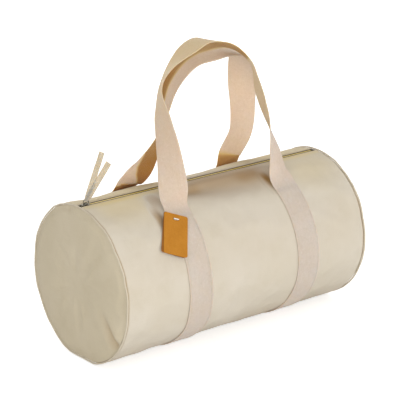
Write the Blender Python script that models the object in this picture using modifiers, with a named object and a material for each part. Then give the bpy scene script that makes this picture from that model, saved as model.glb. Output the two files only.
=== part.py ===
# Canvas barrel bag with a zip along the top, two webbing handles and a card tag.
# Lengths in metres. X runs along the barrel, -Y is the front, +Z is up, the floor is z = 0.
import math

import bmesh
import bpy
from mathutils import Matrix, Vector

# Barrel
BAG_LENGTH = 0.480
BAG_RADIUS = 0.125
CANVAS_THICKNESS = 0.0012
FLOOR_FLAT_DEPTH = 0.0035
END_DOME_HEIGHT = 0.006
FACET_DEGREES = 5.0
FIT_GAP = 0.0003

# Seams at the two ends
SEAM_RIDGE_RADIUS = 0.0015
BINDING_WIDTH = 0.009
BINDING_THICKNESS = 0.0012

# Webbing bands and handles
WEBBING_WIDTH = 0.045
WEBBING_THICKNESS = 0.0018
BAND_LEFT_X = -0.1035
BAND_RIGHT_X = 0.1105
FRONT_FOOT_DEGREES = 28.0
BACK_FOOT_DEGREES = 34.0
HANDLE_RISE = 0.244
HANDLE_STEPS = 4

# Zip: slot, tapes, teeth
ZIP_SLOT_WIDTH = 0.0116
TAPE_WIDTH = 0.0135
TAPE_THICKNESS = 0.0006
TOOTH_PITCH = 0.0030
TOOTH_REACH = 0.0013
TOOTH_HEIGHT = 0.0024
SPINE_WIDTH = 0.0007
SPINE_CLEARANCE = 0.0006
ZIP_END_INSET = 0.008

# Zip slider, stops and puller
SLIDER_INSET = 0.0135
SLIDER_LENGTH = 0.013
SLIDER_PLATE = 0.0010
SLIDER_FLANGE = 0.0011
SLIDER_FLARE = 0.0006
CHAIN_CLEARANCE = 0.0003
POST_LENGTH = 0.0046
POST_WIDTH = 0.0014
BRIDGE_LENGTH = 0.0070
BRIDGE_RISE = 0.0033
BRIDGE_WIRE_RADIUS = 0.0006
STOP_LENGTH = 0.0022
STOP_WALL = 0.0008
RING_WIDTH = 0.0128
RING_HEIGHT = 0.0066
RING_CORNER = 0.0014
RING_WIRE_RADIUS = 0.0006
RIBBON_WIDTH = 0.0092
RIBBON_THICKNESS = 0.0005
RIBBON_LONG_TAIL = 0.070
RIBBON_SHORT_TAIL = 0.060
RIBBON_LAYER_GAP = 0.0010
RIBBON_SETTLE = 0.012
PULL_LEAN_DEGREES = 31.0
RIBBON_SPLAY_DEGREES = 6.5
RIBBON_TWIST_DEGREES = 32.0

# Hang tag
TAG_WIDTH = 0.040
TAG_HEIGHT = 0.069
TAG_CARD = 0.0007
TAG_LEAF_GAP = 0.0005
TAG_CORNER = 0.0035
TAG_SLOPE_DEGREES = 50.0
TAG_TURN_DEGREES = 27.0
TAG_TOP_X = -0.1145
TAG_TOP_RAISE = 0.0315
TAG_BACK_TURN_DEGREES = 3.0
TAG_SLOT_WIDTH = 0.010
TAG_SLOT_HEIGHT = 0.0032
TAG_SLOT_DROP = 0.0085
FASTENER_BAR_LENGTH = 0.0085
FASTENER_BAR_RADIUS = 0.0009
FASTENER_STEM_RADIUS = 0.0006

# Length by which a cutter runs past what it cuts
OVERRUN = 0.002

# Handle routes from the left foot to the right foot. Each row holds the place along the bag
# as a share of half the band spacing, the place forward or back as a share of the foot's,
# the height as a share of the rise, and the webbing's turn as a share of a quarter turn.
FRONT_HANDLE_SHARES = (
    (-1.000, 1.000, 0.000, 1.00),
    (-1.015, 0.945, 0.190, 0.42),
    (-1.030, 0.800, 0.385, 0.16),
    (-1.025, 0.565, 0.565, -0.08),
    (-0.975, 0.375, 0.715, -0.38),
    (-0.780, 0.325, 0.835, -0.31),
    (-0.495, 0.350, 0.930, -0.05),
    (-0.160, 0.300, 0.975, -0.02),
    (0.220, 0.315, 0.920, -0.11),
    (0.575, 0.310, 0.830, 0.13),
    (0.825, 0.270, 0.700, 0.32),
    (0.945, 0.265, 0.525, 0.22),
    (1.030, 0.420, 0.345, 0.34),
    (1.060, 0.645, 0.170, 0.67),
    (1.000, 1.000, 0.000, 1.00),
)
BACK_HANDLE_SHARES = (
    (-1.000, 1.000, 0.000, -1.00),
    (-0.950, 0.670, 0.100, -1.03),
    (-0.835, 0.465, 0.210, -0.86),
    (-0.725, 0.310, 0.370, -0.54),
    (-0.665, 0.215, 0.540, -0.27),
    (-0.560, 0.130, 0.710, -0.12),
    (-0.275, 0.075, 0.835, -0.02),
    (0.165, 0.120, 0.870, 0.11),
    (0.625, 0.320, 0.855, 0.12),
    (0.980, 0.610, 0.775, -0.02),
    (1.140, 0.820, 0.625, -0.37),
    (1.210, 0.875, 0.430, -0.78),
    (1.175, 0.870, 0.230, -0.91),
    (1.020, 0.995, 0.070, -0.96),
    (1.000, 1.000, 0.000, -1.00),
)

# Hollows of the slack canvas. Each row holds the place along the bag and the reach along it as
# shares of half the length, the place and the reach round the barrel in degrees from the top
# towards the front, its rise in degrees for each half length, and its depth as a share of the
# deepest. The canvas stays flat beside the zip, up to the angle below.
DENT_DEPTH = 0.0055
DENT_SHARES = (
    (0.030, 0.360, 20.0, 8.5, 16.0, 1.00),
    (-0.230, 0.110, 15.0, 6.0, 0.0, 0.35),
    (0.000, 0.300, -24.0, 10.0, 8.0, 0.55),
)
DENT_FREE_DEGREES = 10.0
DENT_RISE_DEGREES = 4.0
BODY_STATION_SHARES = (-1.0, -0.42, -0.27, -0.12, 0.04, 0.20, 0.36, 0.52, 1.0)

# Sizes worked out from the ones above
WEBBING_OUTSET = FIT_GAP + WEBBING_THICKNESS
AXIS_Z = BAG_RADIUS - FLOOR_FLAT_DEPTH + WEBBING_OUTSET
PIVOT_RADIUS = BAG_RADIUS + WEBBING_OUTSET + WEBBING_THICKNESS / 2 + FIT_GAP
HANDLE_MID_X = (BAND_LEFT_X + BAND_RIGHT_X) / 2
BAND_HALF_SPACING = (BAND_RIGHT_X - BAND_LEFT_X) / 2
BODY_END_X = BAG_LENGTH / 2 - SEAM_RIDGE_RADIUS - FIT_GAP
INNER_END_X = BAG_LENGTH / 2 - CANVAS_THICKNESS - FIT_GAP
TAPE_OFFSET = -(CANVAS_THICKNESS + FIT_GAP)
SPINE_INNER_Y = TOOTH_REACH + SPINE_CLEARANCE
SPINE_OUTER_Y = SPINE_INNER_Y + SPINE_WIDTH
TAPE_INNER_Y = SPINE_OUTER_Y + FIT_GAP
CHAIN_Z = AXIS_Z + BAG_RADIUS + TAPE_OFFSET - TAPE_THICKNESS / 2
SLIDER_X = -BAG_LENGTH / 2 + SLIDER_INSET
CHANNEL_Y = SPINE_OUTER_Y + CHAIN_CLEARANCE
SLIDER_TOP_Z = CHAIN_Z + TOOTH_HEIGHT / 2 + CHAIN_CLEARANCE + SLIDER_PLATE
POST_END_X = SLIDER_X - SLIDER_LENGTH / 2 + POST_LENGTH + FIT_GAP
CHAIN_START_X = POST_END_X + FIT_GAP
CHAIN_END_X = BAG_LENGTH / 2 - ZIP_END_INSET
PULL_PIVOT_Z = SLIDER_TOP_Z + FIT_GAP + RING_WIRE_RADIUS
TAG_PLANE_DISTANCE = BAG_RADIUS + WEBBING_OUTSET + FIT_GAP


def clear_scene():
    for thing in list(bpy.data.objects):
        bpy.data.objects.remove(thing, do_unlink=True)


def make_collection(name):
    group = bpy.data.collections.new(name)
    bpy.context.scene.collection.children.link(group)
    return group


def material(name, colour, roughness, metallic=0.0):
    made = bpy.data.materials.new(name)
    made.use_nodes = True
    shader = made.node_tree.nodes["Principled BSDF"]
    shader.inputs["Base Color"].default_value = (*colour, 1.0)
    shader.inputs["Roughness"].default_value = roughness
    shader.inputs["Metallic"].default_value = metallic
    return made


def add_object(name, mesh, group, finish):
    thing = bpy.data.objects.new(name, mesh)
    group.objects.link(thing)
    if finish is not None:
        mesh.materials.clear()
        mesh.materials.append(finish)
    return thing


def mesh_from(bm, name):
    mesh = bpy.data.meshes.new(name)
    bm.to_mesh(mesh)
    bm.free()
    return mesh


def smooth(thing, sharp_degrees=40.0):
    thing.data.shade_smooth()
    thing.data.set_sharp_from_angle(angle=math.radians(sharp_degrees))


def set_origin(thing, point):
    """Moves the object's origin to a point and leaves its shape where it is."""
    thing.data.transform(Matrix.Translation(-point))
    thing.location = point


def solidify(thing, thickness, offset):
    shell = thing.modifiers.new("thickness", 'SOLIDIFY')
    shell.thickness = thickness
    shell.offset = offset
    shell.use_even_offset = True


def cutter(name, mesh):
    tool = add_object(name, mesh, CUTTERS, None)
    tool.hide_render = True
    tool.display_type = 'WIRE'
    return tool


def boolean(thing, tool, operation='DIFFERENCE'):
    step = thing.modifiers.new(tool.name, 'BOOLEAN')
    step.operation = operation
    step.solver = 'EXACT'
    step.object = tool


def box_mesh(name, low, high):
    bm = bmesh.new()
    bmesh.ops.create_cube(bm, size=1.0)
    size = Vector(high) - Vector(low)
    middle = (Vector(high) + Vector(low)) / 2
    bmesh.ops.scale(bm, vec=size, verts=bm.verts)
    bmesh.ops.translate(bm, vec=middle, verts=bm.verts)
    return mesh_from(bm, name)


def curve_to_mesh(thing, name):
    """Turns a curve object into a welded mesh and removes the curve."""
    bpy.context.view_layer.update()
    graph = bpy.context.evaluated_depsgraph_get()
    mesh = bpy.data.meshes.new_from_object(thing.evaluated_get(graph))
    mesh.name = name
    bm = bmesh.new()
    bm.from_mesh(mesh)
    bmesh.ops.remove_doubles(bm, verts=bm.verts, dist=FIT_GAP / 100)
    bmesh.ops.transform(bm, matrix=thing.matrix_world, verts=bm.verts)
    bm.to_mesh(mesh)
    bm.free()
    bpy.data.objects.remove(thing, do_unlink=True)
    return mesh


def plate_mesh(name, outlines, thickness):
    """A flat plate from outlines in the XY plane. The second outline is a hole."""
    curve = bpy.data.curves.new(name, 'CURVE')
    curve.dimensions = '2D'
    curve.fill_mode = 'BOTH'
    curve.extrude = thickness / 2
    for outline in outlines:
        spline = curve.splines.new('POLY')
        spline.points.add(len(outline) - 1)
        for point, (x, y) in zip(spline.points, outline):
            point.co = (x, y, 0.0, 1.0)
        spline.use_cyclic_u = True
    drawn = bpy.data.objects.new(name, curve)
    CUTTERS.objects.link(drawn)
    return curve_to_mesh(drawn, name)


def wire_mesh(name, points, radius, closed=False, sides=2):
    """A round wire through points, as a welded mesh."""
    curve = bpy.data.curves.new(name, 'CURVE')
    curve.dimensions = '3D'
    curve.bevel_depth = radius
    curve.bevel_resolution = sides
    curve.use_fill_caps = not closed
    spline = curve.splines.new('POLY')
    spline.points.add(len(points) - 1)
    for point, place in zip(spline.points, points):
        point.co = (*place, 1.0)
    spline.use_cyclic_u = closed
    drawn = bpy.data.objects.new(name, curve)
    CUTTERS.objects.link(drawn)
    return curve_to_mesh(drawn, name)


def rounded_rectangle(width, height, corner, steps=4):
    """Outline of a rectangle about the origin, with rounded corners."""
    points = []
    for turn in range(4):
        sign_x = 1 if turn in (0, 3) else -1
        sign_y = 1 if turn in (0, 1) else -1
        centre_x = sign_x * (width / 2 - corner)
        centre_y = sign_y * (height / 2 - corner)
        for step in range(steps + 1):
            angle = math.radians(90.0 * (turn + step / steps))
            points.append((centre_x + corner * math.cos(angle), centre_y + corner * math.sin(angle)))
    return points


def catmull_rom(rows, steps):
    """Smooth rows through the given ones, with a number of steps between each pair.
    The first column leaves both ends with no slope."""
    first = [2 * a - b for a, b in zip(rows[0], rows[1])]
    last = [2 * a - b for a, b in zip(rows[-1], rows[-2])]
    first[0], last[0] = rows[1][0], rows[-2][0]
    padded = [first] + [list(row) for row in rows] + [last]
    result = []
    for index in range(1, len(padded) - 2):
        p0, p1, p2, p3 = padded[index - 1:index + 3]
        for step in range(steps):
            t = step / steps
            result.append([
                0.5 * (2 * b + (c - a) * t + (2 * a - 5 * b + 4 * c - d) * t ** 2
                       + (3 * b - a - 3 * c + d) * t ** 3)
                for a, b, c, d in zip(p0, p1, p2, p3)])
    result.append(list(rows[-1]))
    return result


def section_point(offset, degrees):
    """A point of the barrel's cross-section: degrees run from the top towards the front."""
    radius = BAG_RADIUS + offset
    y = -radius * math.sin(math.radians(degrees))
    z = radius * math.cos(math.radians(degrees))
    lowest = -(BAG_RADIUS - FLOOR_FLAT_DEPTH + offset)
    return y, AXIS_Z + max(z, lowest)


def arc_angles(start, end):
    """Two angles and the shared facets' angles between them."""
    angles = [start]
    step = math.floor(start / FACET_DEGREES) + 1
    while step * FACET_DEGREES < end - FACET_DEGREES / 10:
        if step * FACET_DEGREES > start + FACET_DEGREES / 10:
            angles.append(step * FACET_DEGREES)
        step += 1
    angles.append(end)
    return angles


def section_arc(offset, start, end):
    """Points of the cross-section between two angles."""
    return [section_point(offset, angle) for angle in arc_angles(start, end)]


def section_ring(offset):
    """Points of the whole closed cross-section."""
    count = round(360.0 / FACET_DEGREES)
    return [section_point(offset, index * FACET_DEGREES) for index in range(count)]


def sheet(name, lines, thickness, finish):
    """A sheet through lines of points, with its thickness on the inner side."""
    bm = bmesh.new()
    rows = [[bm.verts.new(point) for point in line] for line in lines]
    for row, ahead in zip(rows[:-1], rows[1:]):
        for a, b, c, d in zip(row[:-1], row[1:], ahead[1:], ahead[:-1]):
            bm.faces.new((a, b, c, d))
    for face in bm.faces:
        face.normal_update()
    outward = sum(face.normal.dot(face.calc_center_median() - Vector((0, 0, AXIS_Z)))
                  for face in bm.faces)
    if outward < 0:
        bmesh.ops.reverse_faces(bm, faces=bm.faces)
    thing = add_object(name, mesh_from(bm, name), BAG, finish)
    smooth(thing)
    solidify(thing, thickness, -1.0)
    return thing


def straight_lines(outline, start_x, end_x):
    """The same outline at two places along X."""
    return [[(x, y, z) for y, z in outline] for x in (start_x, end_x)]


def ribbon_mesh(name, centres, acrosses, width):
    """A loft of equal cross lines: one at each centre, along its across direction."""
    bm = bmesh.new()
    rows = []
    for centre, across in zip(centres, acrosses):
        half = across.normalized() * width / 2
        rows.append((bm.verts.new(centre - half), bm.verts.new(centre + half)))
    for (a, b), (c, d) in zip(rows[:-1], rows[1:]):
        bm.faces.new((a, b, d, c))
    return mesh_from(bm, name)


def arc_degrees(length):
    """The angle round the barrel that a length on its surface takes."""
    return math.degrees(length / BAG_RADIUS)


def dent_depth(x, degrees):
    """How deep the canvas lies below the plain barrel."""
    turn = (degrees + 180.0) % 360.0 - 180.0
    place = x / (BAG_LENGTH / 2)
    total = 0.0
    for middle, reach, angle, spread, rise, share in DENT_SHARES:
        along = (place - middle) / reach
        across = (turn - angle - rise * (place - middle)) / spread
        total += DENT_DEPTH * share * math.exp(-along ** 4 - across ** 2)
    free = (abs(turn) - DENT_FREE_DEGREES) / DENT_RISE_DEGREES
    return total * min(1.0, max(0.0, free))


def build_barrel():
    """The canvas round the barrel, with its hollows beside the zip."""
    slot = arc_degrees(ZIP_SLOT_WIDTH / 2)
    angles = arc_angles(slot, 360.0 - slot)
    lines = []
    for share in BODY_STATION_SHARES:
        x = share * BODY_END_X
        ends = abs(share) == 1.0
        lines.append([(x, *section_point(0.0 if ends else -dent_depth(x, angle), angle))
                      for angle in angles])
    sheet("body_panel", lines, CANVAS_THICKNESS, CANVAS)


def build_end(side, word):
    """The domed end panel, its seam ridge and the binding inside, at one end of the barrel."""
    rim = BAG_RADIUS - SEAM_RIDGE_RADIUS - FIT_GAP
    rings = 4
    profile = [(rim * ring / rings, END_DOME_HEIGHT * (1 - (ring / rings) ** 2))
               for ring in range(rings + 1)]
    inner = [(radius, height - CANVAS_THICKNESS) for radius, height in reversed(profile)]
    bm = bmesh.new()
    verts = [bm.verts.new((radius, 0, height)) for radius, height in profile + inner]
    for pair in zip(verts[:-1], verts[1:]):
        bm.edges.new(pair)
    panel = add_object("end_panel_" + word, mesh_from(bm, "end_panel_" + word), BAG, END_CANVAS)
    turn = panel.modifiers.new("turn", 'SCREW')
    turn.axis = 'Z'
    turn.steps = 48
    turn.render_steps = 48
    turn.use_merge_vertices = True
    turn.merge_threshold = 0.00001
    panel.location = (side * BAG_LENGTH / 2, 0, AXIS_Z)
    panel.rotation_euler = (0, side * math.pi / 2, 0)
    floor_z = AXIS_Z - (rim - FLOOR_FLAT_DEPTH)
    reach = END_DOME_HEIGHT + OVERRUN
    low = (side * BAG_LENGTH / 2 - reach, -BAG_RADIUS, -OVERRUN)
    high = (side * BAG_LENGTH / 2 + reach, BAG_RADIUS, floor_z)
    boolean(panel, cutter("end_flat_" + word, box_mesh("end_flat_" + word, low, high)))

    ridge_points = [(side * BAG_LENGTH / 2, y, z) for y, z in section_ring(0.0)]
    ridge = wire_mesh("end_seam_" + word, ridge_points, SEAM_RIDGE_RADIUS, closed=True, sides=1)
    smooth(add_object("end_seam_" + word, ridge, BAG, SEAM))

    notch = arc_degrees(TAPE_INNER_Y + TAPE_WIDTH + FIT_GAP)
    outline = section_arc(-(SEAM_RIDGE_RADIUS + FIT_GAP), notch, 360.0 - notch)
    ends = sorted((side * INNER_END_X, side * (INNER_END_X - BINDING_WIDTH)))
    lines = straight_lines(outline, ends[0], ends[1])
    sheet("seam_binding_" + word, lines, BINDING_THICKNESS, BINDING)


def build_band(centre_x, word):
    """Webbing sewn round the barrel, from the front foot under it to the back foot."""
    outline = section_arc(WEBBING_OUTSET, FRONT_FOOT_DEGREES, 360.0 - BACK_FOOT_DEGREES)
    start, end = centre_x - WEBBING_WIDTH / 2, centre_x + WEBBING_WIDTH / 2
    lines = straight_lines(outline, start, end)
    sheet("strap_band_" + word, lines, WEBBING_THICKNESS, WEBBING)


def build_handle(name, shares, foot_degrees, facing, finish):
    """A webbing handle. Facing is -1 at the front and +1 at the back."""
    pivot_y = facing * PIVOT_RADIUS * math.sin(math.radians(foot_degrees))
    pivot_z = AXIS_Z + PIVOT_RADIUS * math.cos(math.radians(foot_degrees))
    rows = catmull_rom(shares, HANDLE_STEPS)
    centres = [Vector((HANDLE_MID_X + x * BAND_HALF_SPACING, pivot_y * y,
                       pivot_z + z * HANDLE_RISE)) for x, y, z, turn in rows]
    acrosses = []
    for index, row in enumerate(rows):
        ahead = centres[min(index + 1, len(rows) - 1)]
        behind = centres[max(index - 1, 0)]
        along = ahead - behind
        if index in (0, len(rows) - 1):
            along.x = 0.0
        along.normalize()
        level = Vector((0, 1, 0))
        level = (level - along * level.dot(along)).normalized()
        angle = math.radians(90.0) * row[3]
        acrosses.append(level * math.cos(angle) + along.cross(level) * math.sin(angle))
    strap = add_object(name, ribbon_mesh(name, centres, acrosses, WEBBING_WIDTH), BAG, finish)
    set_origin(strap, Vector((HANDLE_MID_X, pivot_y, pivot_z)))
    smooth(strap)
    solidify(strap, WEBBING_THICKNESS, 0.0)
    return strap


def build_zip_tapes():
    inner = arc_degrees(TAPE_INNER_Y)
    outer = arc_degrees(TAPE_INNER_Y + TAPE_WIDTH)
    front = section_arc(TAPE_OFFSET, inner, outer)
    back = section_arc(TAPE_OFFSET, 360.0 - outer, 360.0 - inner)
    for word, outline in (("front", front), ("back", back)):
        lines = straight_lines(outline, -INNER_END_X, INNER_END_X)
        sheet("zip_tape_" + word, lines, TAPE_THICKNESS, TAPE)


def tooth_row(side):
    """Outline of one row of teeth on its spine. Wide tips lock behind the other row's."""
    narrow = (TOOTH_PITCH / 2 - FIT_GAP) * 0.38
    wide = TOOTH_PITCH / 2 - FIT_GAP - narrow
    first = CHAIN_START_X + TOOTH_PITCH * (0.5 if side < 0 else 1.0)
    count = int((CHAIN_END_X - CHAIN_START_X) / TOOTH_PITCH - 1)
    outline = [(CHAIN_START_X, side * SPINE_OUTER_Y), (CHAIN_START_X, side * SPINE_INNER_Y)]
    for index in range(count):
        x = first + index * TOOTH_PITCH
        outline.append((x - narrow, side * SPINE_INNER_Y))
        outline.append((x - wide, -side * TOOTH_REACH))
        outline.append((x + wide, -side * TOOTH_REACH))
        outline.append((x + narrow, side * SPINE_INNER_Y))
    outline.append((CHAIN_END_X, side * SPINE_INNER_Y))
    outline.append((CHAIN_END_X, side * SPINE_OUTER_Y))
    return outline


def build_teeth():
    for side, word in ((-1, "front"), (1, "back")):
        name = "zip_teeth_" + word
        mesh = plate_mesh(name, [tooth_row(side)], TOOTH_HEIGHT)
        mesh.transform(Matrix.Translation((0, 0, CHAIN_Z)))
        add_object(name, mesh, BAG, TEETH)


def stop_block(name, start_x, low_y, high_y):
    """A clamp round the edge of one tape or both, with a slot for each tape."""
    half = TAPE_THICKNESS / 2 + FIT_GAP
    reach = half + STOP_WALL
    block = box_mesh(name, (start_x, low_y, CHAIN_Z - reach),
                     (start_x + STOP_LENGTH, high_y, CHAIN_Z + reach))
    stop = add_object(name, block, BAG, STEEL)
    for side in (-1, 1):
        near = side * (TAPE_INNER_Y - FIT_GAP)
        far = side * (abs(low_y) + abs(high_y) + OVERRUN)
        if low_y <= near <= high_y:
            low = (start_x - OVERRUN, min(near, far), CHAIN_Z - half)
            high = (start_x + STOP_LENGTH + OVERRUN, max(near, far), CHAIN_Z + half)
            slot_name = name + "_slot_" + ("front" if side < 0 else "back")
            boolean(stop, cutter(slot_name, box_mesh(slot_name, low, high)))
    return stop


def build_stops():
    inner = TAPE_INNER_Y - FIT_GAP - STOP_WALL
    outer = TAPE_INNER_Y + STOP_WALL
    top_x = SLIDER_X - SLIDER_LENGTH / 2 - FIT_GAP - STOP_LENGTH
    stop_block("top_stop_front", top_x, -outer, -inner)
    stop_block("top_stop_back", top_x, inner, outer)
    stop_block("bottom_stop", CHAIN_END_X + FIT_GAP, -outer, outer)


def build_slider():
    """Two plates joined by a post at the nose, with flanges that leave a slot for the tapes."""
    half = SLIDER_LENGTH / 2
    rear_y = CHANNEL_Y + SLIDER_FLANGE
    nose_y = rear_y + SLIDER_FLARE
    side_shares = ((1.0, 0.62), (0.90, 0.90), (0.72, 1.0), (0.10, 1.0))
    nose_shares = ((-0.40, 1.0), (-0.80, 0.92), (-1.0, 0.55))
    upper = [(half * x, rear_y * y) for x, y in side_shares]
    upper += [(half * x, nose_y * y) for x, y in nose_shares]
    outline = upper + [(x, -y) for x, y in reversed(upper)]
    channel_z = TOOTH_HEIGHT / 2 + CHAIN_CLEARANCE
    body = plate_mesh("slider_body", [outline], 2 * (channel_z + SLIDER_PLATE))
    slider = add_object("slider_body", body, BAG, STEEL)
    slider.location = (SLIDER_X, 0, CHAIN_Z)

    arms_y = nose_y - SLIDER_FLANGE
    upper = [(half + OVERRUN, CHANNEL_Y), (0.0, CHANNEL_Y), (-half / 2, arms_y),
             (-half - OVERRUN, arms_y)]
    channel = upper + [(x, -y) for x, y in reversed(upper)]
    post_x = -half + FIT_GAP
    post = [(post_x, 0.0), (post_x + POST_LENGTH / 3, POST_WIDTH / 2),
            (post_x + POST_LENGTH, 0.0), (post_x + POST_LENGTH / 3, -POST_WIDTH / 2)]
    tool = cutter("slider_channel", plate_mesh("slider_channel", [channel, post], 2 * channel_z))
    tool.location = slider.location
    boolean(slider, tool)
    slot_z = TAPE_THICKNESS / 2 + CHAIN_CLEARANCE
    for side, word in ((-1, "front"), (1, "back")):
        near, far = side * SPINE_INNER_Y, side * (nose_y + OVERRUN)
        low = (-half - OVERRUN, min(near, far), -slot_z)
        high = (half + OVERRUN, max(near, far), slot_z)
        name = "slider_slot_" + word
        tool = cutter(name, box_mesh(name, low, high))
        tool.location = slider.location
        boolean(slider, tool)

    steps = 8
    base_z = channel_z + SLIDER_PLATE
    arch = []
    for step in range(steps + 1):
        angle = math.pi * step / steps
        height = (BRIDGE_RISE - BRIDGE_WIRE_RADIUS) * math.sin(angle) ** 0.6
        arch.append((-BRIDGE_LENGTH / 2 * math.cos(angle), 0.0, base_z + height))
    arch[0] = (arch[0][0], 0.0, base_z - SLIDER_PLATE / 2)
    arch[-1] = (arch[-1][0], 0.0, base_z - SLIDER_PLATE / 2)
    tool = cutter("slider_bridge", wire_mesh("slider_bridge", arch, BRIDGE_WIRE_RADIUS, sides=1))
    tool.location = slider.location
    boolean(slider, tool, 'UNION')
    return slider


def build_puller(slider):
    """A wire ring under the slider's bridge, and a folded ribbon with two tails on it."""
    pivot = bpy.data.objects.new("pull_pivot", None)
    BAG.objects.link(pivot)
    pivot.parent = slider
    pivot.location = (0, 0, PULL_PIVOT_Z - CHAIN_Z)
    pivot.rotation_euler = (0, math.radians(PULL_LEAN_DEGREES), 0)

    bar = RING_HEIGHT - 2 * RING_WIRE_RADIUS
    loop = rounded_rectangle(RING_WIDTH - 2 * RING_WIRE_RADIUS, bar, RING_CORNER, steps=3)
    points = [(0.0, y, z + bar / 2) for y, z in loop]
    ring = add_object("pull_ring", wire_mesh("pull_ring", points, RING_WIRE_RADIUS, closed=True,
                                             sides=1), BAG, STEEL)
    smooth(ring)
    ring.parent = pivot

    wrap = RING_WIRE_RADIUS + FIT_GAP + RIBBON_THICKNESS / 2
    centres, acrosses = [], []
    steps = 14
    for layer, length in ((-1, RIBBON_LONG_TAIL), (1, RIBBON_SHORT_TAIL)):
        tail_centres, tail_acrosses = [], []
        for step in range(steps + 1):
            height = length * step / steps
            settle = min(1.0, height / RIBBON_SETTLE)
            settle = settle * settle * (3 - 2 * settle)
            away = wrap + (RIBBON_LAYER_GAP / 2 - wrap) * settle
            twist = math.radians(RIBBON_TWIST_DEGREES) * settle
            splay = math.radians(RIBBON_SPLAY_DEGREES) * layer
            across = Vector((-math.sin(twist), math.cos(twist), 0))
            normal = Vector((math.cos(twist), math.sin(twist), 0))
            shift = height * math.sin(splay)
            tail_centres.append(normal * away * layer - across * shift
                                + Vector((0, 0, bar + height * math.cos(splay))))
            tail_acrosses.append(across * math.cos(splay) - Vector((0, 0, 1)) * math.sin(-splay))
        if layer < 0:
            centres += reversed(tail_centres)
            acrosses += reversed(tail_acrosses)
            for turn in (45.0, 90.0, 135.0):
                angle = math.radians(turn)
                centres.append(Vector((-wrap * math.cos(angle), 0, bar - wrap * math.sin(angle))))
                acrosses.append(Vector((0, 1, 0)))
        else:
            centres += tail_centres
            acrosses += tail_acrosses
    mesh = ribbon_mesh("ribbon_pull", centres, acrosses, RIBBON_WIDTH)
    ribbon = add_object("ribbon_pull", mesh, BAG, RIBBON)
    solidify(ribbon, RIBBON_THICKNESS, 0.0)
    smooth(ribbon)
    ribbon.parent = pivot


def tag_frame():
    """Place and turn of the tag: origin on the middle of its top edge, X across, Y up the card."""
    slope = math.radians(TAG_SLOPE_DEGREES)
    outward = Vector((0, -math.sin(slope), math.cos(slope)))
    uphill = Vector((0, math.cos(slope), math.sin(slope)))
    turn = math.radians(TAG_TURN_DEGREES)
    up = uphill * math.cos(turn) + Vector((1, 0, 0)) * math.sin(turn)
    across = up.cross(outward)
    top = Vector((TAG_TOP_X, 0, AXIS_Z)) + outward * TAG_PLANE_DISTANCE + uphill * TAG_TOP_RAISE
    frame = Matrix((across, up, outward)).transposed().to_4x4()
    frame.translation = top
    return frame


def build_tag():
    """Two card leaves with a slot through both, and the fastener through the slot."""
    frame = tag_frame()
    pivot = bpy.data.objects.new("tag_pivot", None)
    BAG.objects.link(pivot)
    pivot.matrix_world = frame
    outline = rounded_rectangle(TAG_WIDTH, TAG_HEIGHT, TAG_CORNER)
    slot = rounded_rectangle(TAG_SLOT_WIDTH, TAG_SLOT_HEIGHT, TAG_SLOT_HEIGHT * 0.45)
    outline = [(x, y - TAG_HEIGHT / 2) for x, y in outline]
    slot = [(x, y - TAG_SLOT_DROP) for x, y in slot]
    back_z = TAG_CARD / 2
    front_z = back_z + TAG_CARD + TAG_LEAF_GAP
    leaves = (("tag_back_leaf", back_z, -TAG_BACK_TURN_DEGREES, TAG_BACK),
              ("hang_tag", front_z, 0.0, TAG_FRONT))
    for name, height, turn, finish in leaves:
        mesh = plate_mesh(name, [outline, slot], TAG_CARD)
        mesh.transform(Matrix.Translation((0, 0, height)) @ Matrix.Rotation(math.radians(turn), 4, 'Z'))
        add_object(name, mesh, BAG, finish).parent = pivot

    bar_z = front_z + TAG_CARD / 2 + FIT_GAP + FASTENER_BAR_RADIUS
    half = FASTENER_BAR_LENGTH / 2
    bar = wire_mesh("tag_fastener", [(-half, -TAG_SLOT_DROP, bar_z), (half, -TAG_SLOT_DROP, bar_z)],
                    FASTENER_BAR_RADIUS, sides=2)
    fastener = add_object("tag_fastener", bar, BAG, PLASTIC)
    fastener.parent = pivot
    behind = -(FASTENER_STEM_RADIUS + FIT_GAP)
    stem = [(0.0, -TAG_SLOT_DROP, bar_z), (0.0, -TAG_SLOT_DROP, behind),
            (0.0, -TAG_SLOT_DROP / 2, behind - FASTENER_STEM_RADIUS)]
    tool = cutter("fastener_stem", wire_mesh("fastener_stem", stem, FASTENER_STEM_RADIUS, sides=1))
    tool.parent = pivot
    boolean(fastener, tool, 'UNION')


clear_scene()
BAG = make_collection("barrel_bag")
CUTTERS = make_collection("cutters")
CANVAS = material("canvas", (0.66, 0.60, 0.48), 0.9)
END_CANVAS = material("end_canvas", (0.55, 0.48, 0.35), 0.9)
SEAM = material("seam", (0.60, 0.54, 0.42), 0.9)
BINDING = material("binding", (0.62, 0.56, 0.45), 0.9)
WEBBING = material("webbing", (0.68, 0.58, 0.50), 0.85)
TAPE = material("zip_tape", (0.62, 0.55, 0.36), 0.85)
TEETH = material("zip_teeth", (0.60, 0.50, 0.28), 0.5)
STEEL = material("steel", (0.42, 0.42, 0.40), 0.35, 1.0)
RIBBON = material("ribbon", (0.62, 0.53, 0.44), 0.85)
TAG_FRONT = material("tag_card", (0.50, 0.21, 0.03), 0.8)
TAG_BACK = material("tag_card_back", (0.40, 0.16, 0.03), 0.8)
PLASTIC = material("fastener_plastic", (0.85, 0.84, 0.80), 0.4)

build_barrel()
for END_SIDE, END_WORD in ((-1, "left"), (1, "right")):
    build_end(END_SIDE, END_WORD)
build_band(BAND_LEFT_X, "left")
build_band(BAND_RIGHT_X, "right")
build_handle("front_handle", FRONT_HANDLE_SHARES, FRONT_FOOT_DEGREES, -1, WEBBING)
build_handle("back_handle", BACK_HANDLE_SHARES, BACK_FOOT_DEGREES, 1, WEBBING)
build_zip_tapes()
build_teeth()
build_stops()
build_puller(build_slider())
build_tag()
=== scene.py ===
"""Looks of the canvas barrel bag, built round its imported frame."""

import math

import bpy
import numpy as np
from mathutils import Matrix, Vector, noise


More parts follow.
